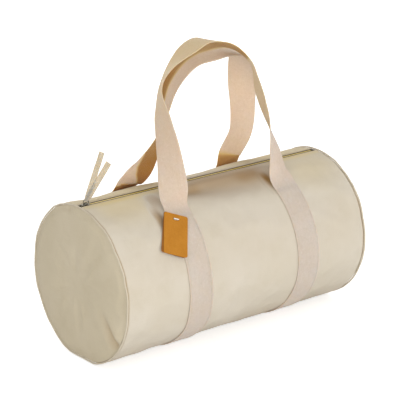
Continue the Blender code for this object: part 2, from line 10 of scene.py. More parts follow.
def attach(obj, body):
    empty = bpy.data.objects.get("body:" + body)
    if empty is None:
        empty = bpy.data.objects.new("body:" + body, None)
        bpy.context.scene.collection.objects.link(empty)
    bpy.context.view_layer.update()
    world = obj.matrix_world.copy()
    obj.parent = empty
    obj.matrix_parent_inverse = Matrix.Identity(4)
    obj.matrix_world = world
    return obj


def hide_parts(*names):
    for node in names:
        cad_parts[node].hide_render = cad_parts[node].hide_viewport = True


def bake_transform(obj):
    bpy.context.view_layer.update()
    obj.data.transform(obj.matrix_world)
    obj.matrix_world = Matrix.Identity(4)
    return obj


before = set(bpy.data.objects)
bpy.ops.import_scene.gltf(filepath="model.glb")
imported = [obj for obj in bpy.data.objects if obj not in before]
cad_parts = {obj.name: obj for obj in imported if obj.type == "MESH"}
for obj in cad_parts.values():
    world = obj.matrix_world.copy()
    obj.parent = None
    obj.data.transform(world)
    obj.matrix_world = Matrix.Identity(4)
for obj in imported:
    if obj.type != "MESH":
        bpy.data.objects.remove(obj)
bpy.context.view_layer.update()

# Sizes of the solids, in metres and degrees
BAG_LENGTH = 0.480
BAG_RADIUS = 0.125
CANVAS_THICKNESS = 0.0012
FLOOR_FLAT_DEPTH = 0.0035
END_DOME_HEIGHT = 0.006
FIT_GAP = 0.0003
SEAM_RIDGE_RADIUS = 0.0015
BINDING_WIDTH = 0.009
BINDING_THICKNESS = 0.0012
WEBBING_WIDTH = 0.045
WEBBING_THICKNESS = 0.0018
BAND_LEFT_X = -0.1035
BAND_RIGHT_X = 0.1105
FRONT_FOOT_DEGREES = 28.0
BACK_FOOT_DEGREES = 34.0
HANDLE_RISE = 0.244
ZIP_SLOT_WIDTH = 0.0116
TAPE_WIDTH = 0.0135
TAPE_THICKNESS = 0.0006
TAPE_INNER_Y = 0.0029
SLIDER_X = -0.2265
PULL_PIVOT_Z = 0.2502
RING_BAR = 0.0054
RING_WIRE_RADIUS = 0.0006
RIBBON_WIDTH = 0.0092
RIBBON_THICKNESS = 0.0005
RIBBON_LAYER_GAP = 0.0010
RIBBON_SETTLE = 0.012
PULL_LEAN_DEGREES = 31.0
RIBBON_SPLAY_DEGREES = 6.5
RIBBON_TWIST_DEGREES = 32.0

# Sizes worked out from the ones above
WEBBING_OUTSET = FIT_GAP + WEBBING_THICKNESS
AXIS_Z = BAG_RADIUS - FLOOR_FLAT_DEPTH + WEBBING_OUTSET
PIVOT_RADIUS = BAG_RADIUS + WEBBING_OUTSET + WEBBING_THICKNESS / 2 + FIT_GAP
HANDLE_MID_X = (BAND_LEFT_X + BAND_RIGHT_X) / 2
BAND_HALF_SPACING = (BAND_RIGHT_X - BAND_LEFT_X) / 2
BODY_END_X = BAG_LENGTH / 2 - SEAM_RIDGE_RADIUS - FIT_GAP
INNER_END_X = BAG_LENGTH / 2 - CANVAS_THICKNESS - FIT_GAP
END_RIM_RADIUS = BAG_RADIUS - SEAM_RIDGE_RADIUS - FIT_GAP
SLOT_DEGREES = math.degrees(ZIP_SLOT_WIDTH / 2 / BAG_RADIUS)

# Sizes as they show, where they differ from the solids
STRAP_THICKNESS = 0.0014
RIBBON_LONG_TAIL = 0.0765
RIBBON_SHORT_TAIL = 0.0660
RIBBON_CUT_SLANT = 0.10     # how far the cut runs along for each metre across

# Fineness of the meshes
BODY_STEP = 0.0026
CLOTH_STEP = 0.0050
BAND_STEP_DEGREES = 1.4
STRAP_STEP = 0.0034
STRAP_COLUMNS = 14
SHARP_DEGREES = 55.0     # edges that turn more than this stay sharp
END_RINGS = 46
END_SPOKES = 216
SEAM_CORNERS = 12
ZIP_ROWS = 240
RIBBON_STEPS = 30
FLOOR_SOFTNESS = 0.0012  # how softly the barrel's curve meets its flat underside

# How the straps leave their bands, and over what length they stay level and start to wave
FOOT_TAIL_DEGREES = 9.0
BEND_REACH = 0.016
LEVEL_REACH = 0.020
WAVE_REACH = 0.050

# The straps: along the bag, towards its front or back, height, and quarter turns,
# as shares of half the bands' spacing, the foot's distance and the handle's rise. The back
# strap's middle rows follow the photograph: up to 3.4 mm above its solid's line, and turned
# up to 11 degrees further
FRONT_HANDLE_SHARES = (
    (-1.000, 1.000, 0.000, 1.00), (-1.015, 0.945, 0.190, 0.42), (-1.030, 0.800, 0.385, 0.16),
    (-1.025, 0.565, 0.565, -0.08), (-0.975, 0.375, 0.715, -0.38), (-0.780, 0.325, 0.835, -0.31),
    (-0.495, 0.350, 0.930, -0.05), (-0.160, 0.300, 0.975, -0.02), (0.220, 0.315, 0.920, -0.11),
    (0.575, 0.310, 0.830, 0.13), (0.825, 0.270, 0.700, 0.32), (0.945, 0.265, 0.525, 0.22),
    (1.030, 0.420, 0.345, 0.34), (1.060, 0.645, 0.170, 0.67), (1.000, 1.000, 0.000, 1.00),
)
BACK_HANDLE_SHARES = (
    (-1.000, 1.000, 0.000, -1.00), (-0.950, 0.670, 0.100, -1.03), (-0.835, 0.465, 0.210, -0.86),
    (-0.725, 0.310, 0.370, -0.54), (-0.670, 0.215, 0.542, -0.22), (-0.575, 0.130, 0.716, -0.02),
    (-0.280, 0.075, 0.847, 0.09), (0.165, 0.120, 0.884, 0.23), (0.625, 0.320, 0.867, 0.18),
    (0.980, 0.610, 0.784, -0.02), (1.140, 0.820, 0.625, -0.37), (1.210, 0.875, 0.430, -0.78),
    (1.175, 0.870, 0.230, -0.91), (1.020, 0.995, 0.070, -0.96), (1.000, 1.000, 0.000, -1.00),
)

# Dents of the canvas: place along the bag and reach along it as shares of its half length,
# place and reach round it in degrees from the top to the front, rise in degrees for each
# half length, and depth as a share of the deepest
DENT_DEPTH = 0.0055
DENT_SHARES = (
    (0.030, 20.0, 0.360, 8.5, 16.0, 1.00),
    (-0.230, 15.0, 0.110, 6.0, 0.0, 0.35),
    (0.000, -24.0, 0.300, 10.0, 8.0, 0.55),
    (-0.538, 30.0, 0.034, 20.0, 0.0, 0.36),
    (0.366, 30.0, 0.030, 13.0, 0.0, 0.34),
    (0.890, 32.0, 0.080, 17.0, 0.0, 0.40),
    (-0.800, 16.0, 0.120, 7.0, -10.0, 0.16),
    (0.180, 118.0, 0.300, 9.0, 12.0, 0.22),
    (-0.120, 112.0, 0.100, 7.0, -25.0, 0.16),
    (-0.700, -30.0, 0.160, 14.0, -15.0, 0.25),
    (0.720, -38.0, 0.150, 16.0, 12.0, 0.25),
)
DENT_FREE_DEGREES = 9.0
DENT_RISE_DEGREES = 4.5

# Painted shade and light on the canvas, in the same columns: above 0 painted shade in the
# hollow under the zip, beside the straps and low down; below 0 yellow painted light on the top
PAINTED_SHADE_SHARES = (
    (0.100, 10.0, 0.420, 16.0, 8.0, 0.92),
    (0.310, 15.0, 0.130, 8.0, 8.0, 0.24),
    (0.100, 5.0, 0.420, 2.8, 0.0, 0.60),
    (0.000, 66.0, 1.200, 26.0, 0.0, 0.12),
    (0.000, -13.0, 1.200, 9.0, 0.0, -0.45),
    (-0.230, 14.0, 0.110, 5.0, 0.0, 0.35),
    (0.386, 25.0, 0.024, 9.0, 0.0, 0.80),
    (0.420, 14.0, 0.060, 5.0, 0.0, -0.50),
    (-0.515, 16.0, 0.045, 9.0, 0.0, 0.60),
    (-0.578, 36.0, 0.036, 13.0, 0.0, 0.95),
    (0.000, 5.0, 1.200, 2.6, 0.0, -0.60),
    (0.000, -5.0, 1.200, 2.2, 0.0, -0.25),
    (0.720, 24.0, 0.230, 18.0, 0.0, -0.20),
    (-0.740, 14.0, 0.180, 14.0, 0.0, -0.28),
    (0.000, 0.0, 1.200, 40.0, 0.0, -0.14),
    (0.000, 152.0, 1.200, 18.0, 0.0, 0.30),
    (0.000, -152.0, 1.200, 18.0, 0.0, 0.30),
)

# How far the seams at the ends wander from a true circle, in metres
SEAM_SWAY_ALONG = 0.0020
SEAM_SWAY_OUT = 0.0014
SEAM_SWAY_REACH = 0.022
SEAM_SWAY_FREE_DEGREES = (9.0, 24.0)
SEAM_SWAY_REST_DEGREES = (125.0, 150.0)

# How high the canvas gathers beside its end seams and its bands, and how far that reaches
END_GATHER = 0.0011
END_GATHER_REACH = 0.016
BAND_GATHER = 0.0007
BAND_GATHER_REACH = 0.010

# The hem beside the zip: how high it rolls up and how deep its stitching pulls it in, each
# with its place from the edge and its reach, and the places of the two rows of stitches
HEM_ROLL = (0.0007, 0.0025, 0.0022)
HEM_DIP = (-0.0005, 0.0060, 0.0011)
HEM_ROWS = (0.0018, 0.0060)

# Stitches of the bands and the hems: their pitch, their length and the thread's radius, and
# how far the bands' rows lie from the middle of the webbing
BAND_STITCH = (0.0042, 0.0031, 0.00032)
HEM_STITCH = (0.0036, 0.0027, 0.00026)
BAND_ROW = 0.0193

# The raised seam: how unevenly it lies, and how its stitches pinch it
SEAM_WOBBLE = 0.0003
SEAM_PINCH_SHARE = 0.10
SEAM_PINCH_DEGREES = 2.4

# The cloth of the body and of an end: its slack as a share, the air's pressure and the frames
# it is given, and how far in and out its result may go
BODY_CLOTH = (0.012, 1.6, 20)
END_CLOTH = (0.010, 0.9, 16)
BODY_SLACK_CAPS = (-0.0010, 0.0022)
END_SLACK_CAPS = (-0.003, 0.003)

# The webbing of the handles: how deep it cups, how high its edges wave, and how often its
# bends at the feet are smoothed
STRAP_CUP = 0.0012
STRAP_EDGE_WAVE = 0.0009
BEND_ROUNDS = 14

# The canvas at an end: how far the finer rows of its mesh run in, how deep and wide the seam
# tucks it in, and how dark and wide the shade in that tuck is
EDGE_ROWS_REACH = 0.0064
SEAM_TUCK = 0.0012
SEAM_TUCK_REACH = 0.0016
SEAM_SHADE = 1.1
SEAM_SHADE_REACH = 0.0014

# Painted shade of the straps: khaki up to this tone, orange above it
KHAKI_SHADE_TONE = 0.35     # the tone that is fully yellow and not yet warm

# Painted shade on the two faces of each strap, orange and khaki: length along from 0 to 1, the edge
# of the orange shade across from -1 to 1, how much orange shade, and how much khaki shade
FRONT_OUTER_PAINTED_SHADE = (
    (0.000, 1.3, 0.00, 0.00), (0.200, 1.3, 0.00, 0.05), (0.280, 1.3, 0.00, 0.30),
    (0.340, 1.3, 0.00, 0.60), (0.450, 1.3, 0.00, 0.65), (0.510, 1.3, 0.00, 0.50),
    (0.620, 1.3, 0.00, 0.10), (0.700, 1.3, 0.00, 0.00), (1.000, 1.3, 0.00, 0.00),
)
FRONT_INNER_PAINTED_SHADE = (
    (0.000, 1.3, 0.00, 0.00), (0.400, 1.3, 0.00, 0.10), (0.490, -1.3, 0.00, 0.30),
    (0.515, -1.3, 0.80, 0.30), (0.600, -1.3, 0.85, 0.30), (0.640, 0.0, 0.70, 0.45),
    (0.690, 0.6, 0.40, 0.50), (0.740, 1.3, 0.00, 0.50), (0.840, 1.3, 0.00, 0.45),
    (0.920, 1.3, 0.00, 0.00), (1.000, 1.3, 0.00, 0.00),
)
BACK_OUTER_PAINTED_SHADE = (
    (0.000, 1.30, 0.00, 0.00), (0.200, 1.30, 0.00, 0.00), (0.260, -0.20, 0.00, 0.10),
    (0.285, -0.20, 1.00, 0.10), (0.297, 0.00, 1.00, 0.10), (0.351, 0.10, 0.95, 0.10),
    (0.405, 0.15, 0.80, 0.10), (0.459, 0.25, 0.70, 0.12), (0.514, 0.15, 0.85, 0.12),
    (0.568, 0.05, 1.00, 0.10), (0.610, 0.25, 0.90, 0.10), (0.650, 1.30, 0.00, 0.00),
    (1.000, 1.30, 0.00, 0.00),
)
BACK_INNER_PAINTED_SHADE = (
    (0.000, -1.30, 1.00, 0.00), (0.050, -1.30, 1.00, 0.00), (0.060, 0.58, 1.00, 0.00),
    (0.075, 0.40, 1.00, 0.00), (0.086, 0.13, 1.00, 0.00), (0.096, -0.10, 1.00, 0.00),
    (0.107, -0.30, 1.00, 0.00), (0.118, -0.52, 1.00, 0.00), (0.139, -0.71, 1.00, 0.00),
    (0.160, -0.90, 0.95, 0.00), (0.180, -1.30, 0.90, 0.00), (0.240, -1.30, 0.90, 0.00),
    (0.300, -1.30, 0.50, 0.00), (0.360, 1.30, 0.00, 0.00), (0.900, 1.30, 0.00, 0.00),
    (0.930, -1.3, 0.00, 0.00), (0.938, -1.3, 0.00, 0.00), (0.948, -1.3, 0.80, 0.00),
    (1.000, -1.3, 0.80, 0.00),
)


def share_between(low, high, value):
    """0 below low, 1 above high and a smooth rise between them."""
    t = np.clip((np.asarray(value, float) - low) / (high - low), 0.0, 1.0)
    return t * t * (3.0 - 2.0 * t)


def unit(vectors):
    """Vectors scaled to a length of one."""
    return vectors / np.maximum(np.linalg.norm(vectors, axis=-1, keepdims=True), 1e-12)


def from_axis(points):
    """Directions from the barrel's axis straight out to points."""
    outs = points - np.array([0.0, 0.0, AXIS_Z])
    outs[..., 0] = 0.0
    return outs


def cloth_map(along, across, mask=0.0):
    """Cloth coordinates, from values that numpy can spread to one grid."""
    return np.stack(np.broadcast_arrays(along, across, mask), axis=-1)


def ripple(points, size, shift=0.0):
    """Smooth noise between -1 and 1 at each point, with lumps of about the given size."""
    flat = np.asarray(points, float).reshape(-1, 3) / size + shift
    values = [noise.noise(Vector(p)) for p in flat]
    return np.array(values).reshape(np.asarray(points).shape[:-1])


def section(offset, degrees):
    """Heights and depths of the barrel's cross-section at an offset from its surface."""
    angle = np.radians(degrees)
    radius = BAG_RADIUS + offset
    level = radius * np.cos(angle)
    lowest = -(radius - FLOOR_FLAT_DEPTH)
    level = 0.5 * (level + lowest + np.sqrt((level - lowest) ** 2 + FLOOR_SOFTNESS ** 2))
    return -radius * np.sin(angle), AXIS_Z + level


def on_barrel(x, offset, degrees):
    """Points of the barrel, from arrays that numpy can spread to one shape."""
    return np.stack(np.broadcast_arrays(x, *section(offset, degrees)), axis=-1)


def signed(degrees):
    """Degrees from the top, up to 180 at the front and down to -180 at the back."""
    return (np.asarray(degrees, float) + 180.0) % 360.0 - 180.0


def patches(table, x, degrees):
    """The sum of a table's soft patches at a place of the barrel."""
    total = 0.0
    for place, turn, reach_x, reach_turn, slant, strength in table:
        along = x / (BAG_LENGTH / 2) - place
        across = signed(degrees) - turn - slant * along
        total = total + strength * np.exp(-(along / reach_x) ** 4 - (across / reach_turn) ** 2)
    return total


def dents(x, degrees):
    """How far the canvas lies inside the plain barrel, by the table of dents."""
    turn = np.abs(signed(degrees))
    free = share_between(DENT_FREE_DEGREES, DENT_FREE_DEGREES + DENT_RISE_DEGREES, turn)
    return -DENT_DEPTH * patches(DENT_SHARES, x, degrees) * free


def seam_sway(x, degrees):
    """How far the canvas by an end wanders with its seam: along the bag, and outward."""
    turn = signed(degrees)
    spoke = np.radians(turn)
    ring = np.stack(np.broadcast_arrays(np.cos(spoke), np.sin(spoke), np.sign(x) * 1.3), axis=-1)
    near = np.exp(-(BAG_LENGTH / 2 - np.abs(x)) / SEAM_SWAY_REACH)
    near = near * share_between(*SEAM_SWAY_FREE_DEGREES, np.abs(turn))
    resting = 1.0 - share_between(*SEAM_SWAY_REST_DEGREES, np.abs(turn))
    along = ripple(ring, 0.33, 2.3) * 0.75 + ripple(ring, 0.13, 7.7) * 0.35
    outward = ripple(ring, 0.24, 5.1) * 0.8 + ripple(ring, 0.11, 1.9) * 0.4
    return SEAM_SWAY_ALONG * along * near, SEAM_SWAY_OUT * outward * near * resting


def ribs(x, degrees):
    """Small folds of the canvas that its seams and bands pull up."""
    arc = np.radians(signed(degrees)) * BAG_RADIUS
    flat = np.stack(np.broadcast_arrays(arc, 1.7, x * 0.25), axis=-1)
    near_end = np.exp(-(BAG_LENGTH / 2 - np.abs(x)) / END_GATHER_REACH)
    gathers = ripple(flat, 0.011, 3.1) * END_GATHER * near_end
    for centre, seed in ((BAND_LEFT_X, 5.2), (BAND_RIGHT_X, 8.4)):
        gap = np.abs(x - centre) - WEBBING_WIDTH / 2
        near_band = np.exp(-np.abs(gap) / BAND_GATHER_REACH)
        gathers = gathers + ripple(flat, 0.016, seed) * BAND_GATHER * near_band
    return gathers


def creases(x, degrees):
    """Broad unevenness of the stuffed canvas, in metres."""
    arc = np.radians(signed(degrees)) * BAG_RADIUS
    flat = np.stack(np.broadcast_arrays(x * 0.8, arc, 0.0), axis=-1)
    low = np.stack([flat[..., 0] + flat[..., 1] * 0.5, flat[..., 1], flat[..., 2]], axis=-1)
    wide = ripple(flat, 0.075, 11.0) * 0.0009 + ripple(low, 0.034, 4.0) * 0.0004
    under = share_between(100.0, 125.0, np.abs(signed(degrees)))
    return wide + ripple(low, 0.020, 7.0) * (0.0002 + 0.0006 * under)


def zip_edge(degrees):
    """Share by which a place is free to move: none at the zip's edge, all away from it."""
    return share_between(SLOT_DEGREES, SLOT_DEGREES + 9.0, np.abs(signed(degrees)))


def hem_lift(reach):
    """How far the hem's roll and its stitching move the canvas, by the reach from its edge."""
    return sum(height * np.exp(-((reach - place) / width) ** 2)
               for height, place, width in (HEM_ROLL, HEM_DIP))


def fill_mesh(mesh, verts, faces, cloth, finish, smooth=True):
    """Gives a mesh its shape, its material and its cloth coordinates: along, across and a mask."""
    mesh.from_pydata([tuple(v) for v in verts], [], [tuple(f) for f in faces])
    mesh.update()
    if cloth is not None:
        layer = mesh.attributes.new("cloth", 'FLOAT_VECTOR', 'POINT')
        layer.data.foreach_set("vector", np.asarray(cloth, np.float32).ravel())
    mesh.materials.append(finish)
    if smooth:
        mesh.shade_smooth()
        mesh.set_sharp_from_angle(angle=math.radians(SHARP_DEGREES))


def mesh_object(name, verts, faces, cloth, finish, smooth=True):
    """An object with a mesh of its own."""
    mesh = bpy.data.meshes.new(name)
    fill_mesh(mesh, verts, faces, cloth, finish, smooth)
    thing = bpy.data.objects.new(name, mesh)
    bpy.context.scene.collection.objects.link(thing)
    return thing


def grid_normals(points):
    """Unit normals of a grid of points."""
    return unit(np.cross(np.gradient(points, axis=0), np.gradient(points, axis=1)))


def quads(index):
    """The faces between neighbours in a grid of point numbers."""
    corners = (index[:-1, :-1], index[1:, :-1], index[1:, 1:], index[:-1, 1:])
    return np.stack([corner.ravel() for corner in corners], axis=1)


def shell(name, points, cloth, thickness, finish, wrap=False):
    """A sheet over a grid of points, with its thickness behind the side it shows.
    With wrap, the last column joins the first."""
    rows, columns = points.shape[:2]
    normals = grid_normals(points)
    if wrap:
        around = np.concatenate([points[:, -1:], points, points[:, :1]], axis=1)
        normals = grid_normals(around)[:, 1:-1]
    thick = np.broadcast_to(np.asarray(thickness, float), (rows, columns))[..., None]
    front = points.reshape(-1, 3)
    back = (points - normals * thick).reshape(-1, 3)
    count = rows * columns
    index = np.arange(count).reshape(rows, columns)
    if wrap:
        index = np.concatenate([index, index[:, :1]], axis=1)
    faces = [quads(index), quads(index)[:, ::-1] + count]
    borders = [index[0, ::-1], index[-1, :]]
    if not wrap:
        borders += [index[:, 0], index[::-1, -1]]
    for border in borders:
        near, far = border[:-1], border[1:]
        faces.append(np.stack([near, far, far + count, near + count], axis=1)[:, ::-1])
    verts = np.concatenate([front, back])
    both = np.concatenate([cloth.reshape(-1, 3)] * 2)
    return mesh_object(name, verts, np.concatenate(faces), both, finish)


def tube(name, rings, cloth, finish, closed=False):
    """A loft through closed rings of points, capped unless its ends join."""
    rows, columns = rings.shape[:2]
    index = np.arange(rows * columns).reshape(rows, columns)
    if closed:
        index = np.concatenate([index, index[:1]], axis=0)
    index = np.concatenate([index, index[:, :1]], axis=1)
    faces = [tuple(face) for face in quads(index)[:, [0, 3, 2, 1]]]
    if not closed:
        faces.append(tuple(range(columns))[::-1])
        faces.append(tuple(range((rows - 1) * columns, rows * columns)))
    return mesh_object(name, rings.reshape(-1, 3), faces, cloth.reshape(-1, 3), finish)


def strap_profile(width, thickness, columns):
    """Across and outward places round the section of a flat strap with rounded edges."""
    half = thickness / 2
    flat = width / 2 - half
    across = [-flat + 2 * flat * k / columns for k in range(columns + 1)]
    edge = [math.radians(turn) for turn in (45.0, 90.0, 135.0)]
    places = [(v, half) for v in across]
    places += [(flat + half * math.sin(a), half * math.cos(a)) for a in edge]
    places += [(v, -half) for v in reversed(across)]
    places += [(-flat - half * math.sin(a), -half * math.cos(a)) for a in edge]
    return np.array(places)


def arc_lengths(centres):
    """Length along a line of points up to each of them."""
    steps = np.linalg.norm(np.diff(centres, axis=0), axis=1)
    return np.concatenate([[0.0], np.cumsum(steps)])


def at_lengths(rows, lengths, wanted):
    """Rows of numbers at the wanted lengths along a line."""
    return np.stack([np.interp(wanted, lengths, column) for column in rows.T], axis=1)


def resample(rows, lengths, step):
    """Rows of numbers at even steps of length."""
    count = max(2, int(round(lengths[-1] / step)) + 1)
    return at_lengths(rows, lengths, np.linspace(0.0, lengths[-1], count))


def catmull_rom(rows, steps):
    """Smooth rows through the given ones. The first column has no slope at both ends."""
    first = [2 * a - b for a, b in zip(rows[0], rows[1])]
    last = [2 * a - b for a, b in zip(rows[-1], rows[-2])]
    first[0], last[0] = rows[1][0], rows[-2][0]
    padded = [first] + [list(row) for row in rows] + [last]
    result = []
    for index in range(1, len(padded) - 2):
        p0, p1, p2, p3 = padded[index - 1:index + 3]
        for step in range(steps):
            t = step / steps
            result.append([
                0.5 * (2 * b + (c - a) * t + (2 * a - 5 * b + 4 * c - d) * t ** 2
                       + (3 * b - a - 3 * c + d) * t ** 3)
                for a, b, c, d in zip(p0, p1, p2, p3)])
    result.append(list(rows[-1]))
    return np.array(result)


def threads(name, lines, pitch, length, radius, finish):
    """Stitches along lines of points. Each line is its points and their outward directions."""
    shares = np.array([-0.5, -0.36, 0.0, 0.36, 0.5])
    heights = np.array([-0.9, 0.35, 0.75, 0.35, -0.9])
    swells = np.array([0.6, 0.95, 1.0, 0.95, 0.6])
    sides = 6
    turns = np.arange(sides) * 2 * math.pi / sides
    verts, faces = [], []
    for points, outs in lines:
        lengths = arc_lengths(points)
        places = np.arange(pitch / 2, lengths[-1], pitch)
        middle = at_lengths(points, lengths, places)
        along = unit(at_lengths(points, lengths, places + length / 2)
                     - at_lengths(points, lengths, places - length / 2))
        out = at_lengths(outs, lengths, places)
        out = unit(out - along * (out * along).sum(axis=1, keepdims=True))
        side = np.cross(along, out)
        for k in range(len(places)):
            base = len(verts)
            for share, height, swell in zip(shares, heights, swells):
                centre = middle[k] + along[k] * share * length + out[k] * height * radius
                for turn in turns:
                    spoke = side[k] * math.cos(turn) + out[k] * math.sin(turn)
                    verts.append(centre + spoke * radius * swell)
            for ring in range(len(shares) - 1):
                for j in range(sides):
                    a = base + ring * sides + j
                    b = base + ring * sides + (j + 1) % sides
                    faces.append((a, b, b + sides, a + sides))
            faces.append(tuple(base + j for j in range(sides))[::-1])
            end = base + (len(shares) - 1) * sides
            faces.append(tuple(end + j for j in range(sides)))
    return mesh_object(name, verts, faces, np.zeros((len(verts), 3)), finish)


# Materials

class Finish:
    """A node material under construction. Methods that make nodes return their sockets."""

    def __init__(self, name, roughness=0.8, metallic=0.0, specular=0.25, sheen=0.0):
        self.material = bpy.data.materials.new(name)
        self.material.use_nodes = True
        self.tree = self.material.node_tree
        self.shader = self.tree.nodes["Principled BSDF"]
        self.shader.inputs["Roughness"].default_value = roughness
        self.shader.inputs["Metallic"].default_value = metallic
        self.shader.inputs["Specular IOR Level"].default_value = specular
        self.shader.inputs["Sheen Weight"].default_value = sheen
        self.shader.inputs["Sheen Roughness"].default_value = 0.45

    def node(self, kind, **settings):
        made = self.tree.nodes.new(kind)
        for key, value in settings.items():
            setattr(made, key, value)
        return made

    def join(self, value, socket):
        if isinstance(value, bpy.types.NodeSocket):
            self.tree.links.new(value, socket)
        else:
            socket.default_value = value

    def math(self, operation, a, b=0.0, clamp=False):
        made = self.node("ShaderNodeMath", operation=operation, use_clamp=clamp)
        self.join(a, made.inputs[0])
        self.join(b, made.inputs[1])
        return made.outputs[0]

    def cloth(self):
        """Sockets of the cloth coordinates: along, across and mask."""
        made = self.node("ShaderNodeAttribute", attribute_name="cloth")
        split = self.node("ShaderNodeSeparateXYZ")
        self.join(made.outputs["Vector"], split.inputs[0])
        return split.outputs[0], split.outputs[1], split.outputs[2]

    def place(self):
        """Socket of the object's own coordinates, in metres."""
        return self.node("ShaderNodeTexCoord").outputs["Object"]

    def vector(self, x, y, z):
        made = self.node("ShaderNodeCombineXYZ")
        for value, socket in zip((x, y, z), made.inputs):
            self.join(value, socket)
        return made.outputs[0]

    def noise(self, where, scale, detail=2.0, roughness=0.5):
        made = self.node("ShaderNodeTexNoise")
        self.join(where, made.inputs["Vector"])
        made.inputs["Scale"].default_value = scale
        made.inputs["Detail"].default_value = detail
        made.inputs["Roughness"].default_value = roughness
        return made.outputs["Fac"]

    def waves(self, value, length):
        """Sine waves of the given length."""
        return self.math('SINE', self.math('MULTIPLY', value, 2 * math.pi / length))

    def drawn(self, along, across, layer, detail=2.0, roughness=0.6):
        """Noise drawn out along threads. Along and across are a socket and a scale each."""
        where = self.vector(self.math('MULTIPLY', *along), self.math('MULTIPLY', *across), layer)
        return self.noise(where, 1.0, detail, roughness)

    def tint(self, colour, rows):
        """The colour mixed with a tone for each row: a value, its range, the tone's share at
        both ends of that range, and the tone."""
        for value, low, high, at_low, at_high, tone in rows:
            colour = self.mix(self.spread(value, low, high, at_low, at_high), colour, tone)
        return colour

    def spread(self, value, low, high, to_low=0.0, to_high=1.0):
        """The value moved from one range to another and held inside it."""
        made = self.node("ShaderNodeMapRange")
        made.clamp = True
        for socket, number in zip(list(made.inputs)[:5], (value, low, high, to_low, to_high)):
            self.join(number, socket)
        return made.outputs[0]

    def mix(self, share, a, b, blend='MIX'):
        made = self.node("ShaderNodeMix", data_type='RGBA', blend_type=blend)
        self.join(share, made.inputs[0])
        self.join(a, made.inputs[6])
        self.join(b, made.inputs[7])
        return made.outputs[2]

    def bump(self, height, distance, strength=1.0, under=None):
        made = self.node("ShaderNodeBump")
        made.inputs["Distance"].default_value = distance
        made.inputs["Strength"].default_value = strength
        self.join(height, made.inputs["Height"])
        if under is not None:
            self.join(under, made.inputs["Normal"])
        return made.outputs[0]

    def finish(self, colour, normal=None, roughness=None):
        self.join(colour, self.shader.inputs["Base Color"])
        if normal is not None:
            self.join(normal, self.shader.inputs["Normal"])
        if roughness is not None:
            self.join(roughness, self.shader.inputs["Roughness"])
        return self.material


def rgb(red, green, blue):
    """A colour given as it shows, 0 to 255, turned to the light values that nodes use."""
    values = []
    for channel in (red, green, blue):
        share = channel / 255.0
        values.append(share / 12.92 if share <= 0.04045 else ((share + 0.055) / 1.055) ** 2.4)
    return (*values, 1.0)


def canvas_finish(name, main, warm, dark, pitch=0.00085, depth=0.00016):
    """Unbleached plain-weave canvas: threads, slubs, specks, soft stains, and painted shade and
    light.
    """
    f = Finish(name, roughness=0.88, specular=0.18, sheen=0.12)
    along, across, mask = f.cloth()
    cell = f.math('MULTIPLY', f.waves(along, 2 * pitch), f.waves(across, 2 * pitch))
    pillow = f.math('POWER', f.math('ABSOLUTE', cell), 0.55)
    over = f.math('GREATER_THAN', cell, 0.0)
    weft = f.drawn((along, 30.0), (across, 1100.0), 0.0)
    warp = f.drawn((along, 1100.0), (across, 26.0), 4.0)
    picked = f.mix(over, f.vector(weft, weft, weft), f.vector(warp, warp, warp))
    thread = f.node("ShaderNodeSeparateColor")
    f.join(picked, thread.inputs[0])
    slub = thread.outputs[0]
    broad = f.noise(f.place(), 9.0, 3.0, 0.55)
    patchy = f.noise(f.place(), 38.0, 3.0, 0.6)
    specks = f.drawn((along, 700.0), (across, 700.0), 9.0, 1.0, 0.4)
    colour = f.tint(main, (
        (broad, 0.35, 0.65, 0.0, 1.0, warm),
        (patchy, 0.52, 0.80, 0.0, 0.35, dark),
        (slub, 0.30, 0.72, 0.28, 0.0, dark),
        (specks, 0.74, 0.80, 0.0, 0.45, rgb(150, 122, 84)),
        # painted shade in the hollows between the threads
        (pillow, 0.0, 0.45, 0.22, 0.0, rgb(140, 122, 92)),
    ))
    # The mask's painted light and shade: below 0 yellow painted light, above 0 brown painted shade
    colour = f.mix(f.math('MULTIPLY', mask, -1.0, clamp=True), colour, rgb(220, 198, 138))
    colour = f.mix(f.math('MULTIPLY', mask, 0.80, clamp=True), colour, rgb(152, 116, 64))
    height = f.math('ADD', f.math('MULTIPLY', pillow, 0.75), f.math('MULTIPLY', slub, 0.5))
    fine = f.bump(height, depth)
    soft = f.bump(f.noise(f.place(), 120.0, 3.0, 0.55), 0.0006, 0.5, fine)
    rough = f.spread(slub, 0.3, 0.7, 0.82, 0.94)
    return f.finish(colour, soft, rough)


